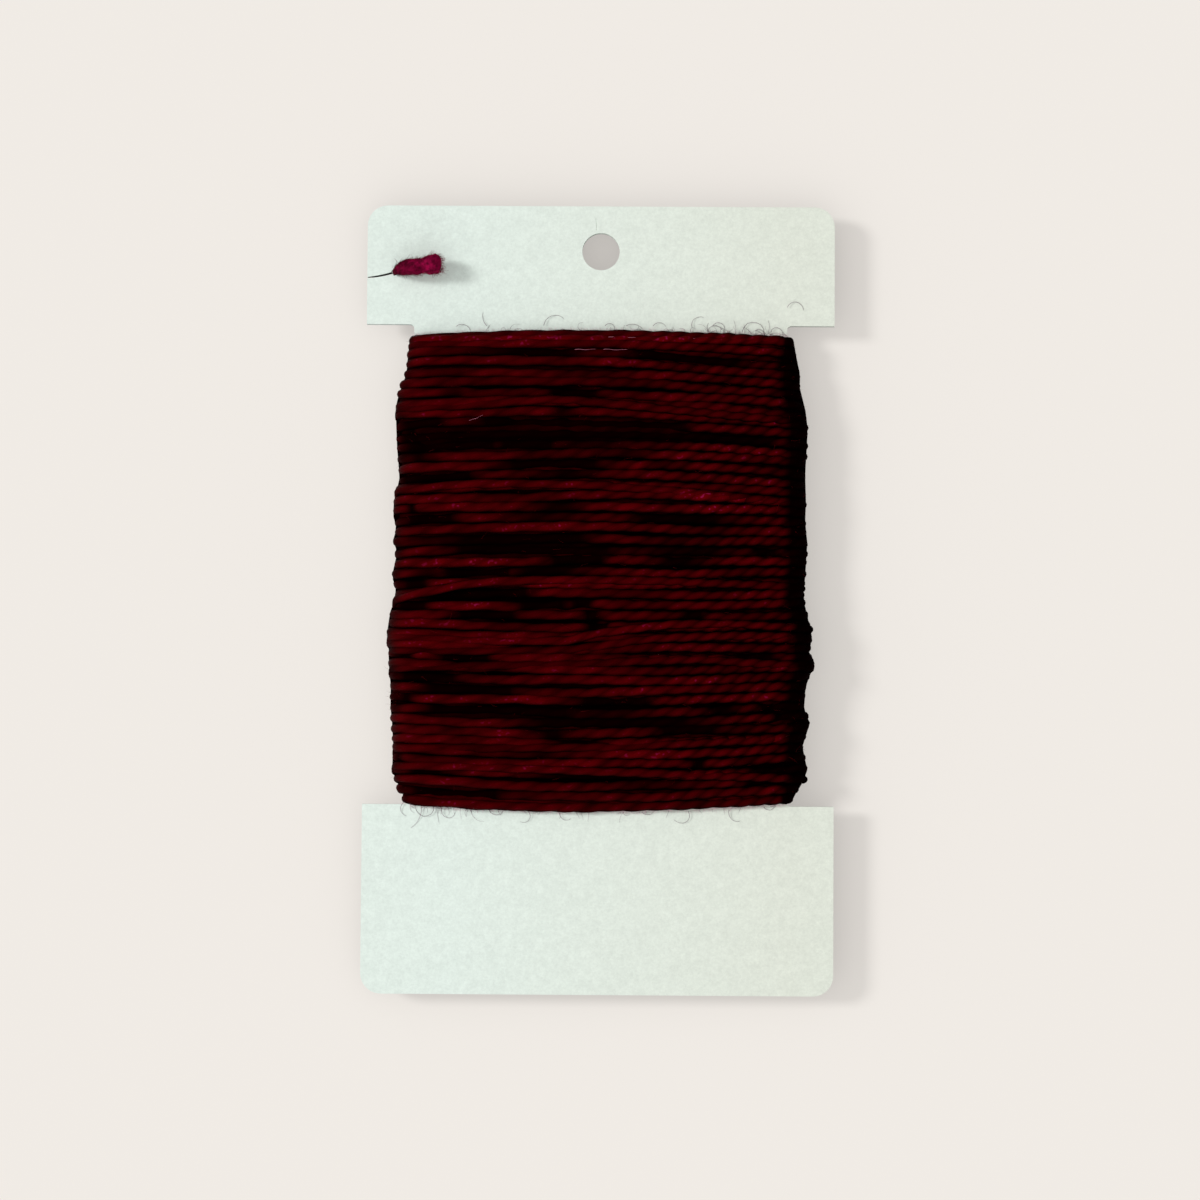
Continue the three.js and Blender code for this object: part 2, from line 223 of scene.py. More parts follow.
# Turns that lie over their neighbours at a slant: the places across and up that each passes on the front,
# from left to right, and how far it rides up there
OVER_TURNS = (
    ((-29, 34.2, 0.1), (-17, 34.4, 0.2), (-8, 34.5, 0.25), (0, 34.5, 0.2), (13, 34.4, 0.2),
     (29, 34.15, 0.1)),
    ((-29, 24.8, 0.0), (-17, 25.4, 0.3), (-8, 26.1, 0.4), (0, 25.8, 0.4), (10.6, 24.8, 0.4),
     (29, 23.2, 0.0)),
    ((-29, 13.8, 0.2), (-18.7, 14.7, 0.4), (-10.9, 14.9, 0.5), (0, 14.7, 0.45), (12, 13.9, 0.3),
     (29, 12.2, 0.0)),
    ((-29, -1.0, 0.0), (-22.9, 0.5, 0.4), (-17, 1.6, 0.5), (-12.4, 2.0, 0.5), (4, 2.2, 0.3),
     (29, 1.4, 0.0)),
    ((-29, -5.3, 0.0), (-18, -5.8, 0.3), (-5, -5.8, 0.45), (0.2, -4.8, 0.6), (12.4, -3.5, 0.5),
     (29, -4.0, 0.0)),
    ((-29, -7.2, 0.0), (-5, -7.0, 0.1), (5.7, -5.6, 0.3), (14, -5.2, 0.5), (22.2, -5.0, 0.4),
     (29, -5.3, 0.2)),
    ((-29, -9.5, 0.0), (-5, -8.9, 0.15), (11.8, -8.2, 0.3), (18.4, -8.5, 0.35), (24, -8.8, 0.4),
     (29, -8.6, 0.5)),
    ((-29, -20.1, 0.0), (0, -19.8, 0.2), (12.4, -19.2, 0.4), (16.3, -19.0, 0.4), (29, -18.4, 0.2)),
    ((-29, -22.4, 0.1), (-16.4, -22.5, 0.4), (-5.9, -22.8, 0.4), (10.2, -23.3, 0.3), (29, -23.9, 0.1)),
)
OVER_BACK_DRIFT = -0.8
OVER_WANDER = 0.04

# How bright each of them is; the first, which lies free on top, is given painted light
OVER_TONE = (0.9, 0.45, 0.55, 0.6, 0.62, 0.5, 0.42, 0.45, 0.55)

# Two plies twisted together, each a soft round bundle pressed against the other. At each place across the
# front: how far the plies stand apart, as a share of the radius, the length in which they go once round
# each other, and how far round each side the strand is darkened by painted shade. The turns are drawn out
# at the left, and the twist stands up at the right
STRAND_RADIUS = 0.7
TWIST_SENSE = -1
TWIST_COLUMNS = ("x", "share", "lay", "shade_from")
TWISTS = (
    (-28, 0.13, 12.0, 0.05),
    (-12, 0.13, 9.0, 0.1),
    (4, 0.15, 6.0, 0.18),
    (14, 0.18, 4.8, 0.3),
    (24, 0.2, 4.4, 0.35),
    (28, 0.2, 4.4, 0.35),
)
BEHIND_SHARE = 0.17
BEHIND_SHADE_FROM = 0.2
LOOSE_BEAD = 0.12
# How much painted shade darkens the colour between the plies
BETWEEN_PLIES_SHADE = 3.4

# The lowest that a thread reaches, where it lies on the floor
REST_FLAT = 0.02

# How unevenly the turns lie: how far they wander up and down the card and in and out, how much a whole
# turn stands above the next, how the strand swells and how its twist runs ahead or behind, in radians
WANDER = 0.2
RISE_AND_FALL = 0.22
TURN_RISE = 0.07
SWELL = 0.08
TWIST_DRIFT = 1.4

# How bright the turns are: on their own, how much painted shade darkens a turn for each millimetre it has
# sunk (and painted light brightens one that stands up), how the dye drifts and the fibres are mottled, and
# how dark the painted shade makes the turns at the card's edges
TONE = 0.5
SUNK_SHADE = 0.85
TONE_DRIFT = 0.09
MOTTLE = 0.26
DARKEST, BRIGHTEST = 0.02, 1.2
# Painted shade at the card's left and right edges
LEFT_EDGE_SHADE = 0.6
RIGHT_EDGE_SHADE = 0.97

# The loose end's centre line, the same points as the solid's
LOOSE_END_ROUTE = (
    (20.4, 36.5, 2.35), (18.6, 36.9, 2.15), (16.4, 37.3, 2.05), (12.6, 37.9, 2.0),
    (8.4, 38.5, 2.0), (3.9, 39.1, 2.0), (-0.8, 39.7, 1.98), (-5.6, 40.3, 1.92),
    (-10.4, 40.9, 1.8), (-15.0, 41.5, 1.55), (-19.0, 42.05, 1.28), (-22.4, 42.6, 1.06),
    (-25.03, 43.0, 0.98), (-26.34, 43.25, 1.33), (-27.3, 43.4, 2.29), (-27.65, 43.46, 3.6),
    (-27.3, 43.55, 4.91), (-26.34, 43.75, 5.87), (-25.03, 44.1, 6.22), (-23.6, 44.45, 6.26),
    (-22.2, 44.78, 6.2),
)
SLIT_PINCH_POINT = 15
SLIT_PINCH = 0.62
SLIT_PINCH_REACH = 1.5
OPENED_SHARE = 0.45

# The cut tip, where the plies come untwisted and swell: centre line and radius from the slit outwards
TUFT_BODY = (
    (-27.7, 43.4, 4.2, 0.2),
    (-27.4, 43.42, 4.9, 0.45),
    (-26.9, 43.62, 5.4, 0.8),
    (-26.15, 43.78, 5.8, 1.0),
    (-25.3, 43.87, 6.0, 1.1),
    (-24.5, 43.92, 6.1, 1.1),
    (-23.9, 44.0, 6.15, 1.0),
    (-23.5, 44.08, 6.15, 1.12),
    (-22.9, 44.17, 6.15, 1.32),
    (-22.2, 44.25, 6.15, 1.36),
    (-21.7, 44.28, 6.15, 1.22),
    (-21.35, 44.3, 6.15, 0.88),
    (-21.22, 44.3, 6.15, 0.4),
)

# Hairs that stand out over the card: where each starts, the way it heads, its length and how it curls, in
# degrees for each millimetre
CURL_COLUMNS = ("x", "y", "heading", "length", "curl")
TOP_CURLS = (
    (24.9, 39.0, 85, 3.1, -48),
    (22.7, 35.7, 80, 3.0, -62),
    (18.9, 35.7, 105, 5.2, -43),
    (20.6, 35.8, 60, 2.4, -70),
    (16.2, 35.9, 100, 2.6, 55),
    (14.9, 36.4, 65, 2.8, -55),
    (12.2, 36.2, 120, 2.6, -50),
    (7.0, 36.4, 60, 2.2, -55),
    (3.4, 36.4, 30, 2.4, -30),
    (-7.6, 36.4, 95, 3.6, -42),
    (-19.3, 36.2, 50, 2.6, -45),
    (-15.2, 36.3, 140, 2.0, -30),
    (0.6, 36.4, 60, 2.0, -70),
)
BOTTOM_CURLS = (
    (-25.6, -27.2, 200, 2.4, 60),
    (-23.4, -27.5, -70, 3.6, -20),
    (-21.8, -27.7, -60, 4.6, -45),
    (-20.6, -27.9, -120, 3.2, 60),
    (-17.2, -28.0, -50, 3.4, 55),
    (-14.4, -28.1, -100, 3.6, 70),
    (-11.4, -28.2, -60, 2.8, 80),
    (-9.2, -28.3, -40, 2.6, -60),
    (-5.0, -28.4, -110, 2.2, 60),
    (5.8, -28.3, -60, 2.8, 50),
    (12.0, -28.2, -40, 3.4, -50),
    (17.4, -28.0, -120, 2.6, 60),
    (22.0, -27.6, -60, 2.4, 70),
)

# Stray filaments that lie along the turns, coloured pale as painted highlights: start, end
PALE_COLUMNS = ("x1", "y1", "x2", "y2")
PALE_FILAMENTS = (
    (0.6, 34.7, 6.4, 34.7),
    (8.0, 34.65, 12.6, 34.55),
    (-3.4, 32.95, -0.6, 33.0),
    (0.4, 33.0, 3.6, 32.95),
    (-17.3, 23.3, -15.5, 24.0),
)


def srgb(code):
    """A hex colour as linear red, green, blue and alpha."""
    parts = [int(code[i:i + 2], 16) / 255 for i in (1, 3, 5)]
    linear = [p / 12.92 if p <= 0.04045 else ((p + 0.055) / 1.055) ** 2.4 for p in parts]
    return (*linear, 1.0)


class CardSettings(bpy.types.PropertyGroup):
    """Sizes and colours of the stiff paper card."""

    width: bpy.props.FloatProperty(
        name="Width", description="Width of the card's tabs", unit="LENGTH",
        default=(CARD_HIGH.x - CARD_LOW.x) * MM)
    height: bpy.props.FloatProperty(
        name="Height", description="Height of the card", unit="LENGTH",
        default=(CARD_HIGH.y - CARD_LOW.y) * MM)
    corner_radius: bpy.props.FloatProperty(
        name="Corner radius", description="Radius of the round outer corners",
        unit="LENGTH", default=2.7 * MM)
    notch_fillet: bpy.props.FloatProperty(
        name="Notch fillet", description="Radius of the notches' inner corners",
        unit="LENGTH", default=0.6 * MM)
    hole_diameter: bpy.props.FloatProperty(
        name="Hole diameter", description="Diameter of the hang hole", unit="LENGTH", default=5.0 * MM)
    slit_width: bpy.props.FloatProperty(
        name="Slit width", description="Width of the slit that grips the thread",
        unit="LENGTH", default=0.24 * MM)
    edge_round: bpy.props.FloatProperty(
        name="Edge round", description="Rounding of the cut edges", unit="LENGTH", default=0.05 * MM)
    colour: bpy.props.FloatVectorProperty(
        name="Paper", description="Colour of the paper at its left side", subtype="COLOR", size=4,
        default=srgb("#DDE8E0"))
    # Painted shade: the paper's colour at its right side, darker and warmer, away from the key light
    right_shade_colour: bpy.props.FloatVectorProperty(
        name="Aged paper", description="Colour of the paper at its right side, which has yellowed a little",
        subtype="COLOR", size=4, default=srgb("#DADFD3"))


class ThreadSettings(bpy.types.PropertyGroup):
    """Sizes and colours of the thread."""

    diameter: bpy.props.FloatProperty(
        name="Diameter", description="Diameter of the loose end", unit="LENGTH", default=1.37 * MM)
    lay: bpy.props.FloatProperty(
        name="Lay", description="Length in which the plies go once round each other", unit="LENGTH",
        default=4.5 * MM)
    colour: bpy.props.FloatVectorProperty(
        name="Thread", description="Colour where the plies stand out", subtype="COLOR", size=4,
        default=srgb("#5A0004"))
    # Near-black colour of the painted shade between the plies, inside the winding and in the slit
    painted_shade_colour: bpy.props.FloatVectorProperty(
        name="Grooves", description="Colour deep between the plies", subtype="COLOR", size=4,
        default=srgb("#040000"))
    # Tint of the specular reflection, and also the colour of the painted pink highlights on the crests
    sheen_and_glint_colour: bpy.props.FloatVectorProperty(
        name="Sheen", description="Tint of the light that the fibres throw back", subtype="COLOR", size=4,
        default=srgb("#7C1038"))
    tuft_colour: bpy.props.FloatVectorProperty(
        name="Tuft", description="Colour of the cut tip's open fibres", subtype="COLOR", size=4,
        default=srgb("#7C0433"))
    tuft_base_colour: bpy.props.FloatVectorProperty(
        name="Tuft base", description="Colour of the tip where it comes up out of the slit",
        subtype="COLOR", size=4, default=srgb("#2E0008"))
    hair_colour: bpy.props.FloatVectorProperty(
        name="Hairs", description="Colour of single hairs against the card", subtype="COLOR", size=4,
        default=srgb("#8C7C84"))
    # Pale colour of the stray filaments: painted highlights along the turns
    filament_highlight_colour: bpy.props.FloatVectorProperty(
        name="Filaments", description="Colour of the few pale filaments along the turns",
        subtype="COLOR", size=4, default=srgb("#B06A7C"))
    # Pale pink of the down: painted light over the shade along the winding's borders
    down_glow_colour: bpy.props.FloatVectorProperty(
        name="Down", description="Colour of the pale down along the winding's borders",
        subtype="COLOR", size=4, default=srgb("#E8C8D0"))


class StageSettings(bpy.types.PropertyGroup):
    """The floor, the lights and the camera."""

    floor_colour: bpy.props.FloatVectorProperty(
        name="Floor", description="Colour of the pale floor",
        subtype="COLOR", size=4, default=srgb("#EBE6E0"))
    floor_glow: bpy.props.FloatProperty(
        name="Floor glow",
        description="Share of the floor's brightness that is its own, which keeps shadows pale",
        default=0.5)
    key_strength: bpy.props.FloatProperty(
        name="Key light", description="Strength of the soft light from the left", default=1.9)
    key_elevation: bpy.props.FloatProperty(
        name="Key height", description="Angle of the key light above the floor", subtype="ANGLE",
        default=math.radians(36))
    key_azimuth: bpy.props.FloatProperty(
        name="Key turn", description="Angle of the key light behind the card's left side", subtype="ANGLE",
        default=math.radians(14))
    key_softness: bpy.props.FloatProperty(
        name="Key softness", description="Angle that the key light fills", subtype="ANGLE",
        default=math.radians(13))
    dome_strength: bpy.props.FloatProperty(
        name="Dome", description="Strength of the soft light from all round above the floor", default=0.7)
    dome_lean: bpy.props.FloatProperty(
        name="Dome lean",
        description="How much brighter the soft light is on one side than on the other, from 0 to 1",
        default=0.8)
    lens: bpy.props.FloatProperty(
        name="Lens", description="Focal length of the camera", unit="CAMERA", default=85.0)


SETTINGS = {
    "card_settings": CardSettings,
    "thread_settings": ThreadSettings,
    "stage_settings": StageSettings,
}


# Places and curves

def columns(table, names):
    """A table's columns by name."""
    return dict(zip(names, np.array(table, float).T))


def column_at(table, names, y):
    """Each column at height y, blended between rows that run from top to bottom."""
    by_name = columns(table[::-1], names)
    return {name: np.interp(y, by_name["y"], values) for name, values in by_name.items()}


def smooth_line(points, spacing):
    """A smooth curve through points, resampled at an even spacing."""
    p = np.array(points, float)
    p = np.vstack([2 * p[0] - p[1], p, 2 * p[-1] - p[-2]])
    steps = 24
    t = np.linspace(0, 1, steps, endpoint=False)[:, None]
    runs = []
    for a, b, c, d in zip(p, p[1:], p[2:], p[3:]):
        runs.append(0.5 * (2 * b + (c - a) * t + (2 * a - 5 * b + 4 * c - d) * t ** 2
                           + (3 * b - a - 3 * c + d) * t ** 3))
    fine = np.vstack([*runs, p[-2:-1]])
    along = travelled(fine)
    count = max(2, int(round(along[-1] / spacing)) + 1)
    at = np.linspace(0, along[-1], count)
    return np.stack([np.interp(at, along, fine[:, i]) for i in range(fine.shape[1])], 1)


def travelled(points):
    """How far along the line each point lies."""
    gaps = np.linalg.norm(np.diff(points[:, :3], axis=0), axis=1)
    return np.concatenate([[0], np.cumsum(gaps)])


def unit(vectors):
    """The vectors at length one."""
    return vectors / np.maximum(np.linalg.norm(vectors, axis=-1, keepdims=True), 1e-9)


def smooth_step(value, low, high):
    """Nought below low, one above high, and a soft rise between."""
    share = np.clip((value - low) / (high - low), 0, 1)
    return share * share * (3 - 2 * share)


def slow_noise(rng, at, size, wavelengths):
    """A smooth wander of about this size along a line, from a few waves of chosen lengths."""
    total = np.zeros_like(at)
    for wavelength in wavelengths:
        total += np.sin(2 * math.pi * at / wavelength + rng.uniform(0, 2 * math.pi)) * rng.uniform(0.5, 1.0)
    return size * total / math.sqrt(len(wavelengths))


# Meshes

def add_object(name, vertices, faces, attributes=()):
    """A new mesh piece at the origin from places in millimetres, smooth shaded."""
    mesh = bpy.data.meshes.new(name)
    mesh.from_pydata(np.asarray(vertices, float) * MM, [], faces)
    for attribute, kind, values in attributes:
        layer = mesh.attributes.new(attribute, kind, "POINT")
        field = "vector" if kind == "FLOAT_VECTOR" else "value"
        layer.data.foreach_set(field, np.ravel(values).astype(np.float32))
    mesh.polygons.foreach_set("use_smooth", [True] * len(mesh.polygons))
    made = bpy.data.objects.new(name, mesh)
    bpy.context.scene.collection.objects.link(made)
    return made


def tube_faces(rings, sides, start):
    """The faces of one capped tube whose rings of vertices begin at index start."""
    ring = np.arange(rings - 1)[:, None] * sides + start
    a = ring + np.arange(sides)[None, :]
    b = ring + (np.arange(sides)[None, :] + 1) % sides
    quads = np.stack([a, b, b + sides, a + sides], -1).reshape(-1, 4).tolist()
    last = start + (rings - 1) * sides
    quads.append(list(range(start + sides - 1, start - 1, -1)))
    quads.append(list(range(last, last + sides)))
    return quads


def twisted_strand(line, outward, radius, bead, lay, shade_from, phase, sides=12):
    """A two-ply strand along a line: rings of points, places in the fibre, and how far each stands out,
    which sets its painted shade.
    """
    tangent = unit(np.gradient(line, axis=0))
    out = unit(outward - (outward * tangent).sum(1, keepdims=True) * tangent)
    side = np.cross(tangent, out)
    along = travelled(line)
    theta = np.arange(sides) * 2 * math.pi / sides
    apart = np.broadcast_to(bead, len(line))[:, None]
    lobe = apart * np.abs(np.cos(theta)) + np.sqrt((1 - apart) ** 2 - (apart * np.sin(theta)) ** 2)
    rounds = np.concatenate([[0], np.cumsum(np.diff(along) / np.broadcast_to(lay, len(line))[1:])])
    angle = theta[None, :] + (TWIST_SENSE * 2 * math.pi * rounds + phase)[:, None]
    reach = np.asarray(radius).reshape(-1, 1) * lobe
    radial = np.cos(angle)[..., None] * out[:, None, :] + np.sin(angle)[..., None] * side[:, None, :]
    points = line[:, None, :] + reach[..., None] * radial
    fibre = np.stack([
        np.broadcast_to(along[:, None], angle.shape),
        np.broadcast_to(np.cos(theta)[None, :], angle.shape),
        np.broadcast_to(np.sin(theta)[None, :], angle.shape),
    ], -1)
    # Painted shade: the colour falls off round each side of the crest, and again between the plies
    crest = smooth_step(np.cos(angle), np.broadcast_to(shade_from, len(line))[:, None], 1.0)
    between_plies = 1 - np.abs(np.cos(theta))[None, :] ** 1.3
    exposed = crest * (1 - BETWEEN_PLIES_SHADE * apart * between_plies)
    return points, fibre, exposed


def join_strands(name, strands, tones, floor=None):
    """One piece from several twisted strands, each with its own tone."""
    vertices, faces, fibres, painted_lit_shares, shades = [], [], [], [], []
    start = 0
    for (points, fibre, exposed), tone in zip(strands, tones):
        rings, sides = exposed.shape
        faces += tube_faces(rings, sides, start)
        start += rings * sides
        vertices.append(points.reshape(-1, 3))
        fibres.append(fibre.reshape(-1, 3) + [[37.0 * len(shades), 0, 0]])
        painted_lit_shares.append(exposed.ravel())
        shades.append(np.broadcast_to(np.asarray(tone, float).reshape(-1, 1), exposed.shape).ravel())
    placed = np.concatenate(vertices)
    if floor is not None:
        placed[:, 2] = np.maximum(placed[:, 2], floor)
    return add_object(name, placed, faces, (
        ("fibre", "FLOAT_VECTOR", np.concatenate(fibres)),
        ("exposed", "FLOAT", np.concatenate(painted_lit_shares)),
        ("tone", "FLOAT", np.concatenate(shades)),
    ))


def hair_mesh(name, lines, radius, taper=0.35, tones=None):
    """One piece from many fine hairs, each a three-sided closed tube. All lines have as many points."""
    lines = np.asarray(lines, float)
    count, rings, _ = lines.shape
    tangent = unit(np.gradient(lines, axis=1))
    across = unit(np.cross(tangent, np.array([0.31, 0.17, 0.93])))
    third = np.cross(tangent, across)
    thin = np.linspace(1, taper, rings)[None, :, None] * np.asarray(radius, float).reshape(-1, 1, 1)
    corners = []
    for turn in range(3):
        angle = turn * 2 * math.pi / 3
        corners.append(lines + thin * (math.cos(angle) * across + math.sin(angle) * third))
    vertices = np.stack(corners, 2).reshape(-1, 3)
    one = np.array(
        [[r * 3 + s, r * 3 + (s + 1) % 3, (r + 1) * 3 + (s + 1) % 3, (r + 1) * 3 + s]
         for r in range(rings - 1) for s in range(3)])
    offsets = np.arange(count)[:, None, None] * rings * 3
    quads = (one[None] + offsets).reshape(-1, 4).tolist()
    first = np.arange(count)[:, None] * rings * 3
    caps = (first + [[2, 1, 0]]).tolist() + (first + (rings - 1) * 3 + [[0, 1, 2]]).tolist()
    shades = np.broadcast_to(np.asarray(0.5 if tones is None else tones).reshape(-1, 1), (count, rings * 3))
    return add_object(name, vertices, quads + caps, (("tone", "FLOAT", shades),))


def settle(piece, material, slot, *nodes):
    """Gives a piece its finish and body and hides the solids that it stands for; its slot is not used."""
    piece.data.materials.clear()
    piece.data.materials.append(material)
    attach(piece, BODY)
    if nodes:
        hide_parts(*nodes)
    return piece


# The way of a turn round the card

def loop_shape(y, inset, edge_inset=None):
    """One turn's loop round the card at height y, drawn in by inset: across, height and outward."""
    edge_inset = inset if edge_inset is None else edge_inset
    form = column_at(WOUND_FORM, FORM_COLUMNS, y)
    front = CARD_THICKNESS / 2 + form["rise"]
    back = CARD_THICKNESS / 2 + BACK_FULL_DEPTH * form["back_share"]
    bend = EDGE_ROUND_SHARE * max(front, back)
    left, right = -form["left"] + bend, form["right"] - bend
    return left, right, front - inset, back - inset, bend - edge_inset


def round_the_card(left, right, front_z, back_z, reach, spacing):
    """Points of one loop, from the left edge over the front, round the right edge and back: across, height
    above the card's middle, and the outward direction."""
    flat = max(8, int(round((right - left) / spacing)))
    bend = max(6, int(round(math.pi * reach / spacing)))
    t_flat = np.linspace(0, 1, flat, endpoint=False)
    t_bend = np.linspace(0, math.pi, bend, endpoint=False)
    t_last = np.linspace(0, math.pi / 2, bend // 2, endpoint=False)
    x = np.concatenate([
        left - reach * np.cos(t_last),
        left + (right - left) * t_flat,
        right + reach * np.sin(t_bend),
        right + (left - right) * t_flat,
        left - reach * np.sin(t_last),
    ])
    z = np.concatenate([
        front_z * np.sin(t_last),
        np.full(flat, front_z),
        np.where(t_bend < math.pi / 2, front_z, back_z) * np.cos(t_bend),
        np.full(flat, -back_z),
        -back_z * np.cos(t_last),
    ])
    outward = np.stack([
        np.concatenate([-np.cos(t_last), np.zeros(flat), np.sin(t_bend), np.zeros(flat), -np.sin(t_last)]),
        np.zeros_like(x),
        np.concatenate([np.sin(t_last), np.ones(flat), np.cos(t_bend), -np.ones(flat), -np.cos(t_last)]),
    ], 1)
    return x, z, outward


def turn_loop(y, y_next, inset, spacing, rng, uneven=1.0, over=None, edge_inset=None):
    """One turn, over the front, round the right edge, across the back and round the left edge to the next
    one's start: its centre line, outward directions, and how far it stands above its neighbours."""
    left, right, front_z, back_z, reach = loop_shape(y, inset, edge_inset)
    x, z, outward = round_the_card(left, right, front_z, back_z, reach, spacing)
    half = np.where(x < 0, reach - left, reach + right)
    across = np.clip(x / half, -1, 1)
    line = column_at(TURN_LINES, LINE_COLUMNS, y)
    place = np.arange(len(x)) / len(x)
    behind = smooth_step(place, STEP_DOWN_FROM, STEP_DOWN_TO)
    drift = line["bow"] * (1 - across ** 2) + line["slope"] * across
    along = place * 2 * (right - left + math.pi * reach)
    level = y + (y_next - y) * behind + drift + slow_noise(rng, along, WANDER * uneven, (27, 47, 83))
    lift = slow_noise(rng, along, RISE_AND_FALL * uneven, (17, 31, 58)) * (1 - 0.7 * np.abs(outward[:, 0]))
    front = outward[:, 2] > 0.02
    if over is None:
        sink, shift = hollows_at(x, level)
        lift = lift - np.where(front, sink * np.clip(outward[:, 2], 0, 1), 0)
        level = level + np.where(front, shift, 0)
    else:
        fine = smooth_line(over, 0.5)
        start_y = over[0][1] + OVER_BACK_DRIFT
        back_level = start_y + (over[-1][1] - start_y) * np.clip((x - left) / (right - left), 0, 1)
        level = np.where(front, np.interp(x, fine[:, 0], fine[:, 1]), back_level)
        level = level + slow_noise(rng, along, OVER_WANDER, (9, 14))
        lift = np.where(front, np.interp(x, fine[:, 0], fine[:, 2]), 0)
    lowest = CARD_THICKNESS / 2 + STRAND_RADIUS * 0.6
    lift = np.where(outward[:, 2] > 0.9, np.maximum(lift, lowest - front_z), lift)
    points = np.stack([x, level, CARD_MIDDLE_Z + z], 1) + outward * lift[:, None]
    return points, outward, lift


def hollows_at(x, y):
    """How deep the hollows are at each place, and how far the turns beside them have moved off."""
    x = x + HOLLOW_RAGGED * np.sin(HOLLOW_RAGGED_WAVE * y)
    sink = np.zeros_like(x)
    shift = np.zeros_like(x)
    for row in HOLLOWS:
        hollow = dict(zip(HOLLOW_COLUMNS, row))
        middle = (hollow["left"] + hollow["right"]) / 2
        dx = (x - middle) / ((hollow["right"] - hollow["left"]) / 2)
        dy = (y - hollow["y"] - hollow["climb"] * (x - middle)) / hollow["height"]
        near = np.exp(-0.8 * np.abs(dx) ** 2.5)
        sink = np.maximum(sink, hollow["depth"] * near * np.exp(-(0.8 * dy) ** 4))
        shift += HOLLOW_SPREAD * near * np.tanh(1.5 * dy) * np.exp(-(dy / 3) ** 2)
    return sink, np.clip(shift, -HOLLOW_SPREAD_MOST, HOLLOW_SPREAD_MOST)


def twist_at(x, outward, lay):
    """At each place on a turn: how far the plies stand apart, their lay, and where the painted shade
    begins.
    """
    table = columns(TWISTS, TWIST_COLUMNS)
    in_front = outward[:, 2] > -0.2
    return (
        np.where(in_front, np.interp(x, table["x"], table["share"]), BEHIND_SHARE),
        np.where(in_front, np.interp(x, table["x"], table["lay"]), lay),
        np.where(in_front, np.interp(x, table["x"], table["shade_from"]), BEHIND_SHADE_FROM),
    )


def edge_shade(outward):
    """How much painted shade darkens the turns where they go round the card's edges, most at the right one.
    """
    seen = smooth_step(outward[:, 2], -0.4, 0.2)
    left = LEFT_EDGE_SHADE * smooth_step(-outward[:, 0], 0.6, 0.97)
    right = RIGHT_EDGE_SHADE * smooth_step(outward[:, 0], 0.1, 0.5)
    return 1 - seen * (left + right)


def wound_run(first, last, inset, spacing, radius, lay, seed, stagger, sides, uneven, edge_inset=None):
    """The continuous strand of some turns of the winding, and how bright it is along its length."""
    lines, outs, lifts = [], [], []
    for turn in range(first, last):
        rng = np.random.default_rng([seed, turn])
        y = WINDING_TOP_Y - (turn + 0.5 + stagger) * PITCH
        calm = min(1, 0.35 + 0.3 * min(turn, TURNS - 1 - turn))
        points, outward, lift = turn_loop(
            y, y - PITCH, inset, spacing, rng, uneven * calm, None, edge_inset)
        lines.append(points)
        outs.append(outward)
        lifts.append(lift + rng.normal(0, TURN_RISE))
    line = soften(np.concatenate(lines), 3)
    outward = np.concatenate(outs)
    rng = np.random.default_rng([seed, first, last])
    along = travelled(line)
    swell = 1 + slow_noise(rng, along, SWELL, (7, 13, 29))
    phase = slow_noise(rng, along, TWIST_DRIFT, (31, 53, 87))
    # Painted shade and light: a turn is darker where it has sunk and lighter where it stands up
    tone = TONE + SUNK_SHADE * np.concatenate(lifts) + slow_noise(rng, along, TONE_DRIFT, (23, 61, 149))
    # Painted shade at the card's edges
    tone = tone * (1 + slow_noise(rng, along, MOTTLE, (2.1, 4.3, 7.7, 13))) * edge_shade(outward)
    share, lays, shade_from = twist_at(line[:, 0], outward, lay)
    strand = twisted_strand(line, outward, radius * swell, share, lays, shade_from, phase, sides)
    return strand, np.clip(tone, DARKEST, BRIGHTEST)


def soften(line, rounds):
    """Takes the small corners off a line, its ends held."""
    for _ in range(rounds):
        line = np.concatenate([line[:1], (line[:-2] + 2 * line[1:-1] + line[2:]) / 4, line[-1:]])
    return line


# Materials

MIX_A, MIX_B, MIX_RESULT = 6, 7, 2


def add_node(tree, kind, settings=None, links=None):
    """Adds a node to a material, sets its fields and sockets, and links other nodes' outputs into it."""
    made = tree.nodes.new(kind)
    for key, value in (settings or {}).items():
        if isinstance(key, int) or key in made.inputs:
            made.inputs[key].default_value = value
        else:
            setattr(made, key, value)
    for key, output in (links or {}).items():
        tree.links.new(output, made.inputs[key])
    return made


def new_material(name):
    """An empty node material, and its tree."""
    material = bpy.data.materials.new(name)
    material.use_nodes = True
    material.node_tree.nodes.clear()
    return material, material.node_tree


def finish_material(tree, settings, links):
    """The shader and the output."""
    shader = add_node(tree, "ShaderNodeBsdfPrincipled", settings, links)
    add_node(tree, "ShaderNodeOutputMaterial", None, {"Surface": shader.outputs[0]})


def noise_span(low, high):
    """Settings that spread a noise's usual values over this span."""
    return {"From Min": 0.3, "From Max": 0.7, "To Min": low, "To Max": high}


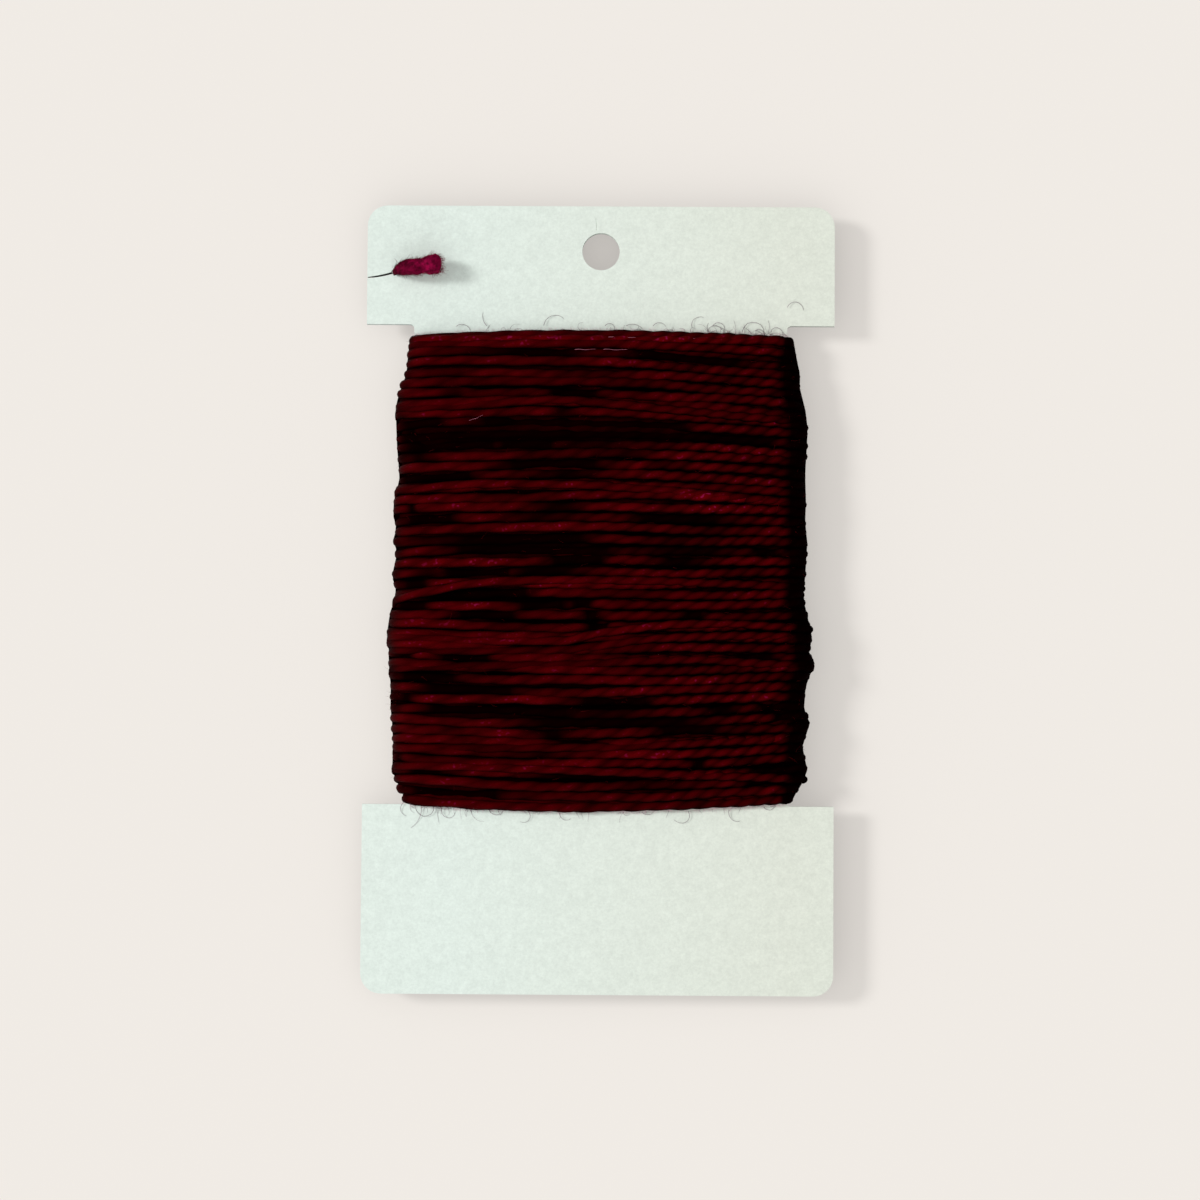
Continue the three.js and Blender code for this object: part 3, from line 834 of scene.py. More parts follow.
def paper_card(settings):
    """Uncoated white board: matt, with painted shade that makes it a little darker and warmer towards its
    right side, and a fine felt grain.
    """
    material, tree = new_material("white paper board")
    place = add_node(tree, "ShaderNodeTexCoord").outputs["Object"]
    # Painted shade: the colour turns darker and warmer from the card's left side to its right
    across = add_node(tree, "ShaderNodeSeparateXYZ", None, {"Vector": place})
    right_shade_share = add_node(
        tree, "ShaderNodeMapRange", {"From Min": -0.02, "From Max": 0.025},
        {"Value": across.outputs["X"]})
    paper = add_node(tree, "ShaderNodeMix", {"data_type": "RGBA", MIX_A: settings.colour,
                                             MIX_B: settings.right_shade_colour}, {0: right_shade_share.outputs[0]})
    clouds = add_node(tree, "ShaderNodeTexNoise", {"Scale": 900.0, "Detail": 2.0}, {"Vector": place})
    grain = add_node(tree, "ShaderNodeTexNoise", {"Scale": 2600.0, "Detail": 3.0, "Roughness": 0.7},
                     {"Vector": place})
    cloudy = add_node(
        tree, "ShaderNodeMapRange", noise_span(0.97, 1.03),
        {"Value": clouds.outputs["Fac"]})
    speck = add_node(
        tree, "ShaderNodeMapRange", noise_span(0.94, 1.06),
        {"Value": grain.outputs["Fac"]})
    both = add_node(
        tree, "ShaderNodeMath", {"operation": "MULTIPLY"},
        {0: cloudy.outputs[0], 1: speck.outputs[0]})
    shade = add_node(tree, "ShaderNodeVectorMath", {"operation": "SCALE"},
                     {0: paper.outputs[MIX_RESULT], "Scale": both.outputs[0]})
    bump = add_node(tree, "ShaderNodeBump", {"Strength": 0.3, "Distance": 0.00004},
                    {"Height": grain.outputs["Fac"]})
    finish_material(tree, {"Roughness": 0.85, "IOR": 1.45, "Specular IOR Level": 0.2},
                    {"Base Color": shade.outputs[0], "Normal": bump.outputs[0]})
    return material


def wool_thread(settings, name):
    """Dyed two-ply wool, dull: painted shade near black between the plies, painted pink highlights on the
    crests.
    """
    material, tree = new_material(name)
    fibre = add_node(tree, "ShaderNodeAttribute", {"attribute_name": "fibre"}).outputs["Vector"]
    exposed = add_node(tree, "ShaderNodeAttribute", {"attribute_name": "exposed"}).outputs["Fac"]
    tone = add_node(tree, "ShaderNodeAttribute", {"attribute_name": "tone"}).outputs["Fac"]
    stretch = add_node(tree, "ShaderNodeMapping", {"vector_type": "POINT", "Scale": (0.45, 2.6, 2.6)},
                       {"Vector": fibre})
    streaks = add_node(tree, "ShaderNodeTexNoise", {"Scale": 2.0, "Detail": 3.0, "Roughness": 0.6},
                       {"Vector": stretch.outputs[0]})
    dye_place = add_node(tree, "ShaderNodeMapping", {"vector_type": "POINT", "Scale": (0.1, 0.3, 0.3)},
                         {"Vector": fibre})
    dye = add_node(
        tree, "ShaderNodeTexNoise", {"Scale": 1.0, "Detail": 2.0},
        {"Vector": dye_place.outputs[0]})
    dyed = add_node(
        tree, "ShaderNodeMapRange", noise_span(0.7, 1.25),
        {"Value": dye.outputs["Fac"]})
    hairy = add_node(
        tree, "ShaderNodeMapRange", noise_span(0.8, 1.15),
        {"Value": streaks.outputs["Fac"]})
    both = add_node(
        tree, "ShaderNodeMath", {"operation": "MULTIPLY"},
        {0: dyed.outputs[0], 1: hairy.outputs[0]})
    level = add_node(tree, "ShaderNodeMath", {"operation": "MULTIPLY"}, {0: both.outputs[0], 1: tone})
    share = add_node(tree, "ShaderNodeMath", {"operation": "MULTIPLY", "use_clamp": True},
                     {0: level.outputs[0], 1: exposed})
    # Painted shade: the colour goes to near black where the painted lit share is low
    mixed = add_node(tree, "ShaderNodeMix", {"data_type": "RGBA", MIX_A: settings.painted_shade_colour,
                                             MIX_B: settings.colour}, {0: share.outputs[0]})
    # Painted highlight: small pink spots on the crests, mixed into the colour
    place = add_node(tree, "ShaderNodeTexCoord").outputs["Object"]
    glints = add_node(tree, "ShaderNodeTexNoise", {"Scale": 2300.0, "Detail": 0.0}, {"Vector": place})
    spots = add_node(
        tree, "ShaderNodeMapRange", {"From Min": 0.62, "From Max": 0.74},
        {"Value": glints.outputs["Fac"]})
    on_crest = add_node(
        tree, "ShaderNodeMapRange", {"From Min": 0.45, "From Max": 0.9},
        {"Value": share.outputs[0]})
    glint = add_node(tree, "ShaderNodeMath", {"operation": "MULTIPLY", "use_clamp": True},
                     {0: spots.outputs[0], 1: on_crest.outputs[0]})
    glinting = add_node(tree, "ShaderNodeMix", {"data_type": "RGBA", MIX_B: settings.sheen_and_glint_colour},
                        {0: glint.outputs[0], MIX_A: mixed.outputs[MIX_RESULT]})
    bump = add_node(tree, "ShaderNodeBump", {"Strength": 0.4, "Distance": 0.0001},
                    {"Height": streaks.outputs["Fac"]})
    shine = add_node(tree, "ShaderNodeMath", {"operation": "MULTIPLY", 1: 0.12}, {0: share.outputs[0]})
    finish_material(tree, {
        "Roughness": 0.6,
        "IOR": 1.5,
        "Specular Tint": settings.sheen_and_glint_colour,
    }, {
        "Base Color": glinting.outputs[MIX_RESULT],
        "Normal": bump.outputs[0],
        "Specular IOR Level": shine.outputs[0],
    })
    return material


def open_wool(settings):
    """Untwisted wool at the cut tip: felted, dull, dark at its base, a rich purple red where it opens."""
    material, tree = new_material("open wool tip")
    tone = add_node(tree, "ShaderNodeAttribute", {"attribute_name": "tone"}).outputs["Fac"]
    place = add_node(tree, "ShaderNodeTexCoord").outputs["Object"]
    felt = add_node(
        tree, "ShaderNodeTexNoise", {"Scale": 1600.0, "Detail": 3.0, "Roughness": 0.7},
        {"Vector": place})
    open_share = add_node(tree, "ShaderNodeMapRange", {"From Min": 0.02, "From Max": 0.62}, {"Value": tone})
    mixed = add_node(tree, "ShaderNodeMix", {"data_type": "RGBA", MIX_A: settings.tuft_base_colour,
                                             MIX_B: settings.tuft_colour}, {0: open_share.outputs[0]})
    vary = add_node(
        tree, "ShaderNodeMapRange", noise_span(0.4, 1.6),
        {"Value": felt.outputs["Fac"]})
    shade = add_node(tree, "ShaderNodeVectorMath", {"operation": "SCALE"},
                     {0: mixed.outputs[MIX_RESULT], "Scale": vary.outputs[0]})
    bump = add_node(
        tree, "ShaderNodeBump", {"Strength": 0.8, "Distance": 0.0001},
        {"Height": felt.outputs["Fac"]})
    finish_material(tree, {"Roughness": 0.8, "Specular IOR Level": 0.05},
                    {"Base Color": shade.outputs[0], "Normal": bump.outputs[0]})
    return material


def plain_hair(name, colour, shine=0.1):
    """Single wool hairs: so thin that they look paler than the thread, each a little lighter or darker."""
    material, tree = new_material(name)
    place = add_node(tree, "ShaderNodeTexCoord").outputs["Object"]
    vary = add_node(tree, "ShaderNodeTexNoise", {"Scale": 900.0, "Detail": 1.0}, {"Vector": place})
    shade = add_node(
        tree, "ShaderNodeMapRange", noise_span(0.7, 1.25),
        {"Value": vary.outputs["Fac"]})
    tinted = add_node(tree, "ShaderNodeVectorMath", {"operation": "SCALE", 0: colour[:3]},
                      {"Scale": shade.outputs[0]})
    finish_material(tree, {"Roughness": 0.7, "Specular IOR Level": shine},
                    {"Base Color": tinted.outputs[0]})
    return material


def pale_floor(settings):
    """Seamless paper sweep: flat and matt."""
    material, tree = new_material("seamless paper floor")
    place = add_node(tree, "ShaderNodeTexCoord").outputs["Object"]
    grain = add_node(tree, "ShaderNodeTexNoise", {"Scale": 1500.0}, {"Vector": place})
    bump = add_node(
        tree, "ShaderNodeBump", {"Strength": 0.03, "Distance": 0.00005},
        {"Height": grain.outputs["Fac"]})
    lit = [part * (1 - settings.floor_glow) for part in settings.floor_colour[:3]]
    finish_material(tree, {
        "Base Color": (*lit, 1.0),
        "Emission Color": settings.floor_colour,
        "Emission Strength": settings.floor_glow * FLOOR_LEVEL,
        "Roughness": 0.95,
        "Specular IOR Level": 0.0,
    }, {"Normal": bump.outputs[0]})
    return material


# Operators

def deselect():
    """Nothing is selected, so the next operator works on its own new piece."""
    for other in bpy.context.selected_objects:
        other.select_set(False)
    bpy.context.view_layer.objects.active = None


# Where the camera stands and how it is turned, in degrees, at the photo's angle
CAMERA_PLACE = (2.95, -18.71, 380.275)
CAMERA_TURN = (2.81, 0.41, 0.355)

# The floor, a little below the piece, how brightly it glows for its colour, and the way that the dome
# gets fainter
FLOOR_SIDE = 4000.0
FLOOR_DROP = 0.02
FLOOR_LEVEL = 1.05
DOME_WAY = (0.55, 0.84, 0.0)


def add_sun(name, strength, softness, azimuth, elevation):
    """A soft light from far off on the left, turned by azimuth behind the card's left side."""
    bpy.ops.object.light_add(type="SUN", rotation=(0, 0, 0))
    light = bpy.context.object
    light.name = name
    light.data.energy = strength
    light.data.angle = softness
    flat = math.cos(elevation)
    towards = Vector((-math.cos(azimuth) * flat, math.sin(azimuth) * flat, math.sin(elevation)))
    light.rotation_euler = towards.to_track_quat("Z", "Y").to_euler()


def soft_dome(settings):
    """Soft light from above the floor only, brighter at the left and below, as from a wide screen there."""
    world = bpy.data.worlds.new("soft dome")
    world.use_nodes = True
    tree = world.node_tree
    way = add_node(tree, "ShaderNodeTexCoord").outputs["Generated"]
    parts = add_node(tree, "ShaderNodeSeparateXYZ", None, {"Vector": way})
    towards = add_node(tree, "ShaderNodeVectorMath", {"operation": "DOT_PRODUCT", 1: DOME_WAY}, {0: way})
    bright, faint = 1 + settings.dome_lean, 1 - settings.dome_lean
    lean = add_node(tree, "ShaderNodeMapRange", {
        "From Min": -1.0, "From Max": 1.0, "To Min": bright * settings.dome_strength,
        "To Max": faint * settings.dome_strength}, {"Value": towards.outputs["Value"]})
    above = add_node(
        tree, "ShaderNodeMapRange", {"From Min": -0.02, "From Max": 0.02},
        {"Value": parts.outputs["Z"]})
    strength = add_node(
        tree, "ShaderNodeMath", {"operation": "MULTIPLY"},
        {0: lean.outputs[0], 1: above.outputs[0]})
    background = tree.nodes["Background"]
    background.inputs["Color"].default_value = (1, 1, 1, 1)
    tree.links.new(strength.outputs[0], background.inputs["Strength"])
    return world


class THREAD_OT_stage(bpy.types.Operator):
    """Adds the camera, the pale floor and the soft lights"""

    bl_idname = "thread.stage"
    bl_label = "Stage"

    def execute(self, context):
        settings = context.scene.stage_settings
        deselect()
        bpy.ops.object.camera_add(
            location=[part * MM for part in CAMERA_PLACE],
            rotation=[math.radians(part) for part in CAMERA_TURN])
        camera = context.object
        camera.name = "camera"
        camera.data.lens = settings.lens
        camera.data.clip_start = 0.01
        context.scene.camera = camera
        deselect()
        bpy.ops.mesh.primitive_plane_add(size=FLOOR_SIDE * MM, location=(0, 0, -FLOOR_DROP * MM))
        floor = context.object
        floor.name = "floor"
        floor.data.materials.append(pale_floor(settings))
        floor.visible_diffuse = False
        deselect()
        add_sun(
            "key", settings.key_strength, settings.key_softness, settings.key_azimuth,
            settings.key_elevation)
        context.scene.world = soft_dome(settings)
        context.scene.view_settings.view_transform = "Standard"
        return {"FINISHED"}


LOOSE_END_SPACING = 0.3
LOOSE_END_SIDES = 16
LOOSE_END_TONE = 0.6
LOOSE_SHADE_FROM = 0.3


class THREAD_OT_loose_end(bpy.types.Operator):
    """Adds the loose end, from the winding, behind the top tab and up through the slit"""

    bl_idname = "thread.loose_end"
    bl_label = "Loose end"

    def execute(self, context):
        settings = context.scene.thread_settings
        line = smooth_line(LOOSE_END_ROUTE, LOOSE_END_SPACING)
        tangent = unit(np.gradient(line, axis=0))
        outward = np.cross(tangent, np.broadcast_to([0.0, 1.0, 0.0], tangent.shape))
        along = travelled(line)
        gap = np.linalg.norm(line - np.array(LOOSE_END_ROUTE[SLIT_PINCH_POINT]), axis=1)
        radius = settings.diameter / MM / 2 * (1 - SLIT_PINCH * np.exp(-(gap / SLIT_PINCH_REACH) ** 2))
        radius = radius * (1 + slow_noise(np.random.default_rng(5), along, 0.03, (5, 11)))
        opened = smooth_step(line[:, 2], CARD_MIDDLE_Z, CARD_FRONT_Z + 0.5)
        radius = radius * (1 - (1 - OPENED_SHARE) * opened)
        strand = twisted_strand(
            line, outward, radius, LOOSE_BEAD, settings.lay / MM, LOOSE_SHADE_FROM, np.zeros(len(line)),
            LOOSE_END_SIDES)
        open_out = strand[:2] + (0.3 + 0.7 * strand[2],)
        piece = join_strands("loose_end_thread", [open_out], [LOOSE_END_TONE], floor=REST_FLAT)
        settle(piece, wool_thread(settings, "twisted wool, loose end"), "thread", "loose_end")
        tip = make_tuft(settings)
        slit_shadow = slit_wisps(settings)
        return {"FINISHED"}


# Near-black fibres that paint the slit's shadow
SLIT_WISPS = 9
SLIT_WISP_RADIUS = 0.05


def slit_wisps(settings):
    """A few near-black fibres drawn along the slit, where the thread was pulled in from the card's edge:
    painted shadow.
    """
    rng = np.random.default_rng(7)
    lines = []
    for _ in range(SLIT_WISPS):
        t = np.linspace(0, rng.uniform(0.8, 0.99), HAIR_POINTS)[:, None]
        line = np.array(SLIT_END) + (np.array(SLIT_EDGE) - np.array(SLIT_END)) * t + rng.normal(0, 0.02, 2)
        line[:, 1] -= SLIT_SAG * 4 * t[:, 0] * (1 - t[:, 0])
        height = CARD_FRONT_Z + rng.uniform(-0.3, 0.0) + 0.04 * np.sin(7 * t + rng.uniform(0, 6))
        lines.append(np.hstack([line, height]))
    piece = hair_mesh("slit_wisps", lines, SLIT_WISP_RADIUS, 0.7)
    return settle(piece, plain_hair("dark wool fibres in the slit", settings.painted_shade_colour, 0.05), "thread")


TUFT_FIBRES = 1500
TUFT_FIBRE_POINTS = 5
TUFT_CORE_SIDES = 24


def make_tuft(settings):
    """The open, swollen tip: a soft lobed body under a felted coat of short fibres, darker by the slit."""
    rng = np.random.default_rng(11)
    body = smooth_line(TUFT_BODY, 0.1)
    line, radius = body[:, :3], np.maximum(body[:, 3], 0.05)
    tangent = unit(np.gradient(line, axis=0))
    side = unit(np.cross(tangent, [0.0, 0.0, 1.0]))
    up = np.cross(side, tangent)
    theta = np.arange(TUFT_CORE_SIDES) * 2 * math.pi / TUFT_CORE_SIDES
    along = travelled(line)
    share = along / along[-1]
    lumps = 1 + 0.07 * np.sin(3 * theta[None, :] + 1.7 * along[:, None])
    lumps = lumps + 0.05 * np.sin(5 * theta[None, :] - 2.9 * along[:, None] + 1)
    lumps = lumps + rng.uniform(-0.05, 0.05, lumps.shape)
    reach = 0.92 * radius[:, None] * lumps
    around = np.cos(theta)[None, :, None] * side[:, None] + np.sin(theta)[None, :, None] * up[:, None]
    points = line[:, None] + reach[..., None] * around
    faces = tube_faces(len(line), TUFT_CORE_SIDES, 0)
    tone = np.broadcast_to(share[:, None], lumps.shape)
    core = add_object("loose_end_tip", points.reshape(-1, 3), faces, (("tone", "FLOAT", tone),))
    hairs, tones = [], []
    for _ in range(TUFT_FIBRES):
        spot = int(rng.uniform(0.12, 0.99) * (len(line) - 1))
        turn = rng.uniform(0, 2 * math.pi)
        out = math.cos(turn) * side[spot] + math.sin(turn) * up[spot]
        start = line[spot] + out * radius[spot] * rng.uniform(0.84, 0.98)
        stray = rng.random() < 0.16
        lean = rng.uniform(0.4, 1.1) if stray else rng.uniform(-0.1, 0.3)
        way = unit(tangent[spot] * rng.uniform(0.5, 1.2) + out * lean + rng.normal(0, 0.35, 3))
        swing = rng.normal(0, 0.6, 3) - out * 0.3
        length = rng.uniform(0.35, 0.7) if stray else rng.uniform(0.4, 0.9)
        steps = np.linspace(0, 1, TUFT_FIBRE_POINTS)
        hairs.append([start + way * length * t + swing * length * t * t * 0.5 for t in steps])
        tones.append(share[spot] + rng.normal(0, 0.16))
    coat = hair_mesh("loose_end_tip_coat", hairs, rng.uniform(0.02, 0.034, TUFT_FIBRES), tones=tones)
    wool = open_wool(settings)
    settle(core, wool, "thread")
    settle(coat, wool, "thread")
    deselect()
    core.select_set(True)
    coat.select_set(True)
    bpy.context.view_layer.objects.active = core
    bpy.ops.object.join()
    return core


CORNER_SEGMENTS = 9
FILLET_SEGMENTS = 6
HOLE_SIDES = 96
SLIT_STEPS = 10
CUTTER_DEPTH = 3.0
CUTTER_TOP_Z = 8.0
NEAR = 0.1

# A light crease that was pressed into the front above the hang hole: its line, widths and depth
CREASE_LINE = ((-0.55, 49.3), (-0.6, 50.1), (-0.75, 50.9))
CREASE_WIDTHS = (0.16, 0.12, 0.04)
CREASE_DEPTH = 0.05


def cut_away(piece, cutter):
    """Takes the cutter's shape out of a piece and removes the cutter."""
    tool = piece.modifiers.new("cut", "BOOLEAN")
    tool.operation = "DIFFERENCE"
    tool.solver = "EXACT"
    tool.object = cutter
    deselect()
    piece.select_set(True)
    bpy.context.view_layer.objects.active = piece
    bpy.ops.object.modifier_apply(modifier=tool.name)
    bpy.data.objects.remove(cutter)


def select_only(mesh, kind, test):
    """In edit mode, selects the vertices, edges or faces that pass a test of their middle."""
    bpy.ops.mesh.select_all(action="DESELECT")
    bpy.ops.object.mode_set(mode="OBJECT")
    for part in getattr(mesh, kind):
        if kind == "vertices":
            middle = part.co
        else:
            middle = sum((mesh.vertices[i].co for i in part.vertices), Vector()) / len(part.vertices)
        part.select = test(middle / MM)
    bpy.ops.object.mode_set(mode="EDIT")


def ribbon_cutter(name, line, widths, low, high):
    """A closed ribbon on edge along a flat line, to cut a slit or press a crease."""
    line = np.array(line, float)
    along = unit(np.gradient(line, axis=0))
    across = np.stack([-along[:, 1], along[:, 0]], 1) * (np.array(widths) / 2)[:, None]
    ring = []
    for place, off in zip(line, across):
        left, right = place + off, place - off
        ring += [(*left, low), (*left, high), (*right, high), (*right, low)]
    return add_object(name, ring, tube_faces(len(line), 4, 0))


class THREAD_OT_card(bpy.types.Operator):
    """Adds the paper card with its notches, round corners, hang hole and slit"""

    bl_idname = "thread.card"
    bl_label = "Card"

    def execute(self, context):
        settings = context.scene.card_settings
        deselect()
        bpy.ops.mesh.primitive_plane_add(size=1, location=(0, 0, 0))
        card = context.object
        card.name = "paper_card"
        shape_board(card.data, settings)
        card.data.transform(card.matrix_world)
        card.matrix_world.identity()
        cut_openings(card, settings)
        round_cut_edges(card, settings)
        settle(card, paper_card(settings), "card", "card")
        return {"FINISHED"}


def shape_board(mesh, settings):
    """In edit mode, makes a unit square the notched board with its round corners and its thickness."""
    bpy.ops.object.mode_set(mode="EDIT")
    bpy.ops.mesh.select_mode(type="VERT")
    bpy.ops.transform.resize(value=(settings.width, settings.height, 1))
    bpy.ops.transform.translate(value=(0, 0, CARD_BACK_Z * MM))
    cuts = (
        ((0, NOTCH_TOP_Y, 0), (0, 1, 0)),
        ((0, NOTCH_BOTTOM_Y, 0), (0, 1, 0)),
        ((-WAIST_HALF_WIDTH, 0, 0), (1, 0, 0)),
        ((WAIST_HALF_WIDTH, 0, 0), (1, 0, 0)),
    )
    for place, facing in cuts:
        bpy.ops.mesh.select_all(action="SELECT")
        bpy.ops.mesh.bisect(plane_co=[part * MM for part in place], plane_no=facing)
    bpy.ops.mesh.select_mode(type="FACE")
    waist = WAIST_HALF_WIDTH
    select_only(mesh, "polygons", lambda p: NOTCH_BOTTOM_Y < p.y < NOTCH_TOP_Y and abs(p.x) > waist)
    bpy.ops.mesh.delete(type="FACE")
    bpy.ops.mesh.select_all(action="SELECT")
    bpy.ops.mesh.dissolve_limited()
    bpy.ops.mesh.select_mode(type="VERT")
    side, end = settings.width / MM / 2, settings.height / MM / 2
    select_only(mesh, "vertices", lambda p: abs(p.x) > side - NEAR and abs(p.y) > end - NEAR)
    bpy.ops.mesh.bevel(offset=settings.corner_radius, segments=CORNER_SEGMENTS, affect="VERTICES")
    select_only(mesh, "vertices", lambda p: abs(p.x) < waist + NEAR and abs(p.y) < NOTCH_TOP_Y + NEAR)
    bpy.ops.mesh.bevel(offset=settings.notch_fillet, segments=FILLET_SEGMENTS, affect="VERTICES")
    bpy.ops.mesh.select_all(action="SELECT")
    bpy.ops.mesh.extrude_region_move(TRANSFORM_OT_translate={"value": (0, 0, CARD_THICKNESS * MM)})
    bpy.ops.mesh.select_all(action="SELECT")
    bpy.ops.mesh.normals_make_consistent(inside=False)
    bpy.ops.object.mode_set(mode="OBJECT")


def cut_openings(card, settings):
    """Cuts the hang hole, the passage where the thread comes up, the slit and a crease above the hole."""
    for centre, radius in ((HOLE_CENTRE, settings.hole_diameter / MM / 2), (SLIT_END, PASSAGE_RADIUS)):
        deselect()
        bpy.ops.mesh.primitive_cylinder_add(
            vertices=HOLE_SIDES, radius=radius * MM, depth=CUTTER_DEPTH * MM,
            location=(centre[0] * MM, centre[1] * MM, CARD_MIDDLE_Z * MM))
        cut_away(card, bpy.context.object)
    start = np.array(SLIT_EDGE) - 0.6 * (np.array(SLIT_END) - np.array(SLIT_EDGE)) / 3.6
    t = np.linspace(0, 1, SLIT_STEPS)
    line = start + (np.array(SLIT_END) - start) * t[:, None]
    line[:, 1] -= SLIT_SAG * 4 * t * (1 - t)
    widths = settings.slit_width / MM * (0.6 + 0.8 * t)
    cut_away(card, ribbon_cutter("slit", line, widths, 0.0, CUTTER_TOP_Z))
    cut_away(card, ribbon_cutter(
        "crease", CREASE_LINE, CREASE_WIDTHS, CARD_FRONT_Z - CREASE_DEPTH, CUTTER_TOP_Z))


def round_cut_edges(card, settings):
    """Rounds the cut edges a little, and keeps the faces flat."""
    soft_edge = card.modifiers.new("soft edge", "BEVEL")
    soft_edge.width = settings.edge_round
    soft_edge.segments = 2
    soft_edge.limit_method = "ANGLE"
    soft_edge.angle_limit = math.radians(50)
    deselect()
    card.select_set(True)
    bpy.context.view_layer.objects.active = card
    bpy.ops.object.modifier_apply(modifier=soft_edge.name)
    bpy.ops.object.shade_smooth_by_angle(angle=math.radians(40))
    for face in card.data.polygons:
        face.use_smooth = abs(face.normal.z) < 0.999


# How finely the outer and the under turns are made, how far in the under turns lie, and how far the
# near-black inside, painted shade, keeps behind them
TOP_SPACING = 0.46
UNDER_SPACING = 0.7
TOP_PIECES = 2
TOP_SIDES = 12
UNDER_SIDES = 8
UNDER_INSET = 1.15
UNDER_EDGE_INSET = 0.3
UNDER_UNEVEN = 0.7
# How much painted shade darkens the under turns, which lie in the outer turns' shade
UNDER_SHADE = 0.35
CORE_INSET = 1.95
CORE_EDGE_INSET = 0.15
CORE_END_INSET = 0.5
CORE_OVER_CARD = 0.12
CORE_STATIONS = 60
CORE_EDGE_POINTS = 12


class THREAD_OT_winding(bpy.types.Operator):
    """Adds the wound thread: outer turns, the turns under them, the turns that cross and the dark inside"""

    bl_idname = "thread.winding"
    bl_label = "Winding"

    def execute(self, context):
        settings = context.scene.thread_settings
        lay = settings.lay / MM
        outer = wool_thread(settings, "twisted wool, outer turns")
        inner = wool_thread(settings, "twisted wool, under turns")
        share = TURNS // TOP_PIECES
        for number in range(TOP_PIECES):
            strand, tone = wound_run(
                number * share, (number + 1) * share, STRAND_RADIUS, TOP_SPACING, STRAND_RADIUS, lay, 3,
                0.0, TOP_SIDES, 1.0)
            piece = join_strands(f"wound_turns_{number + 1}", [strand], [tone], floor=REST_FLAT)
            settle(piece, outer, "thread", *(["winding"] if number == 0 else []))
        strand, tone = wound_run(
            0, TURNS - 1, STRAND_RADIUS + UNDER_INSET, UNDER_SPACING, STRAND_RADIUS, lay, 17,
            0.5, UNDER_SIDES, UNDER_UNEVEN, STRAND_RADIUS + UNDER_EDGE_INSET)
        # The under turns are darkened by painted shade
        piece = join_strands("under_turns", [strand], [tone * UNDER_SHADE], floor=REST_FLAT)
        settle(piece, inner, "thread")
        settle(crossing_turns(lay), outer, "thread")
        # The inside is coloured near black as painted shade
        settle(wound_inside(), plain_hair("shaded wool inside", settings.painted_shade_colour, 0.0), "thread")
        return {"FINISHED"}


def crossing_turns(lay):
    """The turns that lie over their neighbours, each a loop of its own, in one piece."""
    strands, tones = [], []
    for number, over in enumerate(OVER_TURNS):
        rng = np.random.default_rng([29, number])
        y = over[0][1]
        points, outward, lift = turn_loop(y, y, STRAND_RADIUS, TOP_SPACING, rng, 0.0, over)
        points = soften(np.vstack([points, points[:1]]), 3)
        outward = np.vstack([outward, outward[:1]])
        along = travelled(points)
        phase = np.full(len(points), rng.uniform(0, 6))
        radius = STRAND_RADIUS * (0.9 + slow_noise(rng, along, 0.06, (9, 17)))
        share, lays, shade_from = twist_at(points[:, 0], outward, lay)
        strands.append(twisted_strand(points, outward, radius, share, lays, shade_from, phase, TOP_SIDES))
        # Painted light: a crossing turn is brighter where it rides up over its neighbours
        ride = 0.6 + 0.4 * smooth_step(np.append(lift, lift[0]), 0.0, 0.35)
        patchy = 1 + slow_noise(rng, along, 0.18, (5, 9, 16))
        # Painted shade at the card's edges
        tones.append(OVER_TONE[number] * ride * patchy * edge_shade(outward))
    return join_strands("crossing_turns", strands, tones, floor=REST_FLAT)


def wound_inside():
    """The inside of the winding, which shows only as darkness between the turns: a near-black solid,
    painted shade.
    """
    rings = []
    turn = np.linspace(0, math.pi, CORE_EDGE_POINTS)[1:-1]
    for y in np.linspace(WINDING_TOP_Y - CORE_END_INSET, WINDING_BOTTOM_Y + CORE_END_INSET, CORE_STATIONS):
        left, right, front_z, back_z, reach = loop_shape(y, CORE_INSET)
        reach = max(reach + CORE_INSET - CORE_EDGE_INSET, 0.3)
        front_z = max(front_z, CARD_THICKNESS / 2 + CORE_OVER_CARD)
        back_z = max(back_z, CARD_THICKNESS / 2 + CORE_OVER_CARD)
        ring = [(left, front_z), (0, front_z), (right, front_z)]
        for a in turn:
            depth = front_z if a < math.pi / 2 else back_z
            ring.append((right + reach * math.sin(a), depth * math.cos(a)))
        ring += [(right, -back_z), (0, -back_z), (left, -back_z)]
        for a in turn:
            depth = back_z if a < math.pi / 2 else front_z
            ring.append((left - reach * math.sin(a), -depth * math.cos(a)))
        rings.append([(x, y, CARD_MIDDLE_Z + z) for x, z in ring])
    rings = np.array(rings[::-1])
    return add_object("wound_inside", rings.reshape(-1, 3), tube_faces(len(rings), rings.shape[1], 0))


HAIR_POINTS = 9
CURL_RADIUS = 0.045
BORDER_HAIRS = 70
BORDER_DOWN = 1500
TURN_HAIRS = 500
FILAMENT_RADIUS = 0.03
FILAMENT_POINTS = 24


def curl_line(rng, x, y, z, heading, length, curl, rise):
    """A hair that sets out along a heading in the card's plane, curls, rises a little and comes down."""
    turn = math.radians(heading)
    step = length / (HAIR_POINTS - 1)
    points = [(x, y, z)]
    for number in range(1, HAIR_POINTS):
        turn += math.radians(curl) * step * rng.uniform(0.6, 1.4)
        x += step * math.cos(turn)
        y += step * math.sin(turn)
        share = number / (HAIR_POINTS - 1)
        height = z + rise * math.sin(math.pi * share * 0.9) - 0.5 * share
        points.append((x, y, max(height, CARD_FRONT_Z + 0.04)))
    return points


def border_height(x, top):
    """Where the winding's border lies at this place across the card."""
    y = WINDING_TOP_Y if top else WINDING_BOTTOM_Y
    form = column_at(WOUND_FORM, FORM_COLUMNS, y)
    line = column_at(TURN_LINES, LINE_COLUMNS, y)
    across = x / form["right"]
    return y + line["bow"] * (1 - across ** 2) + line["slope"] * across


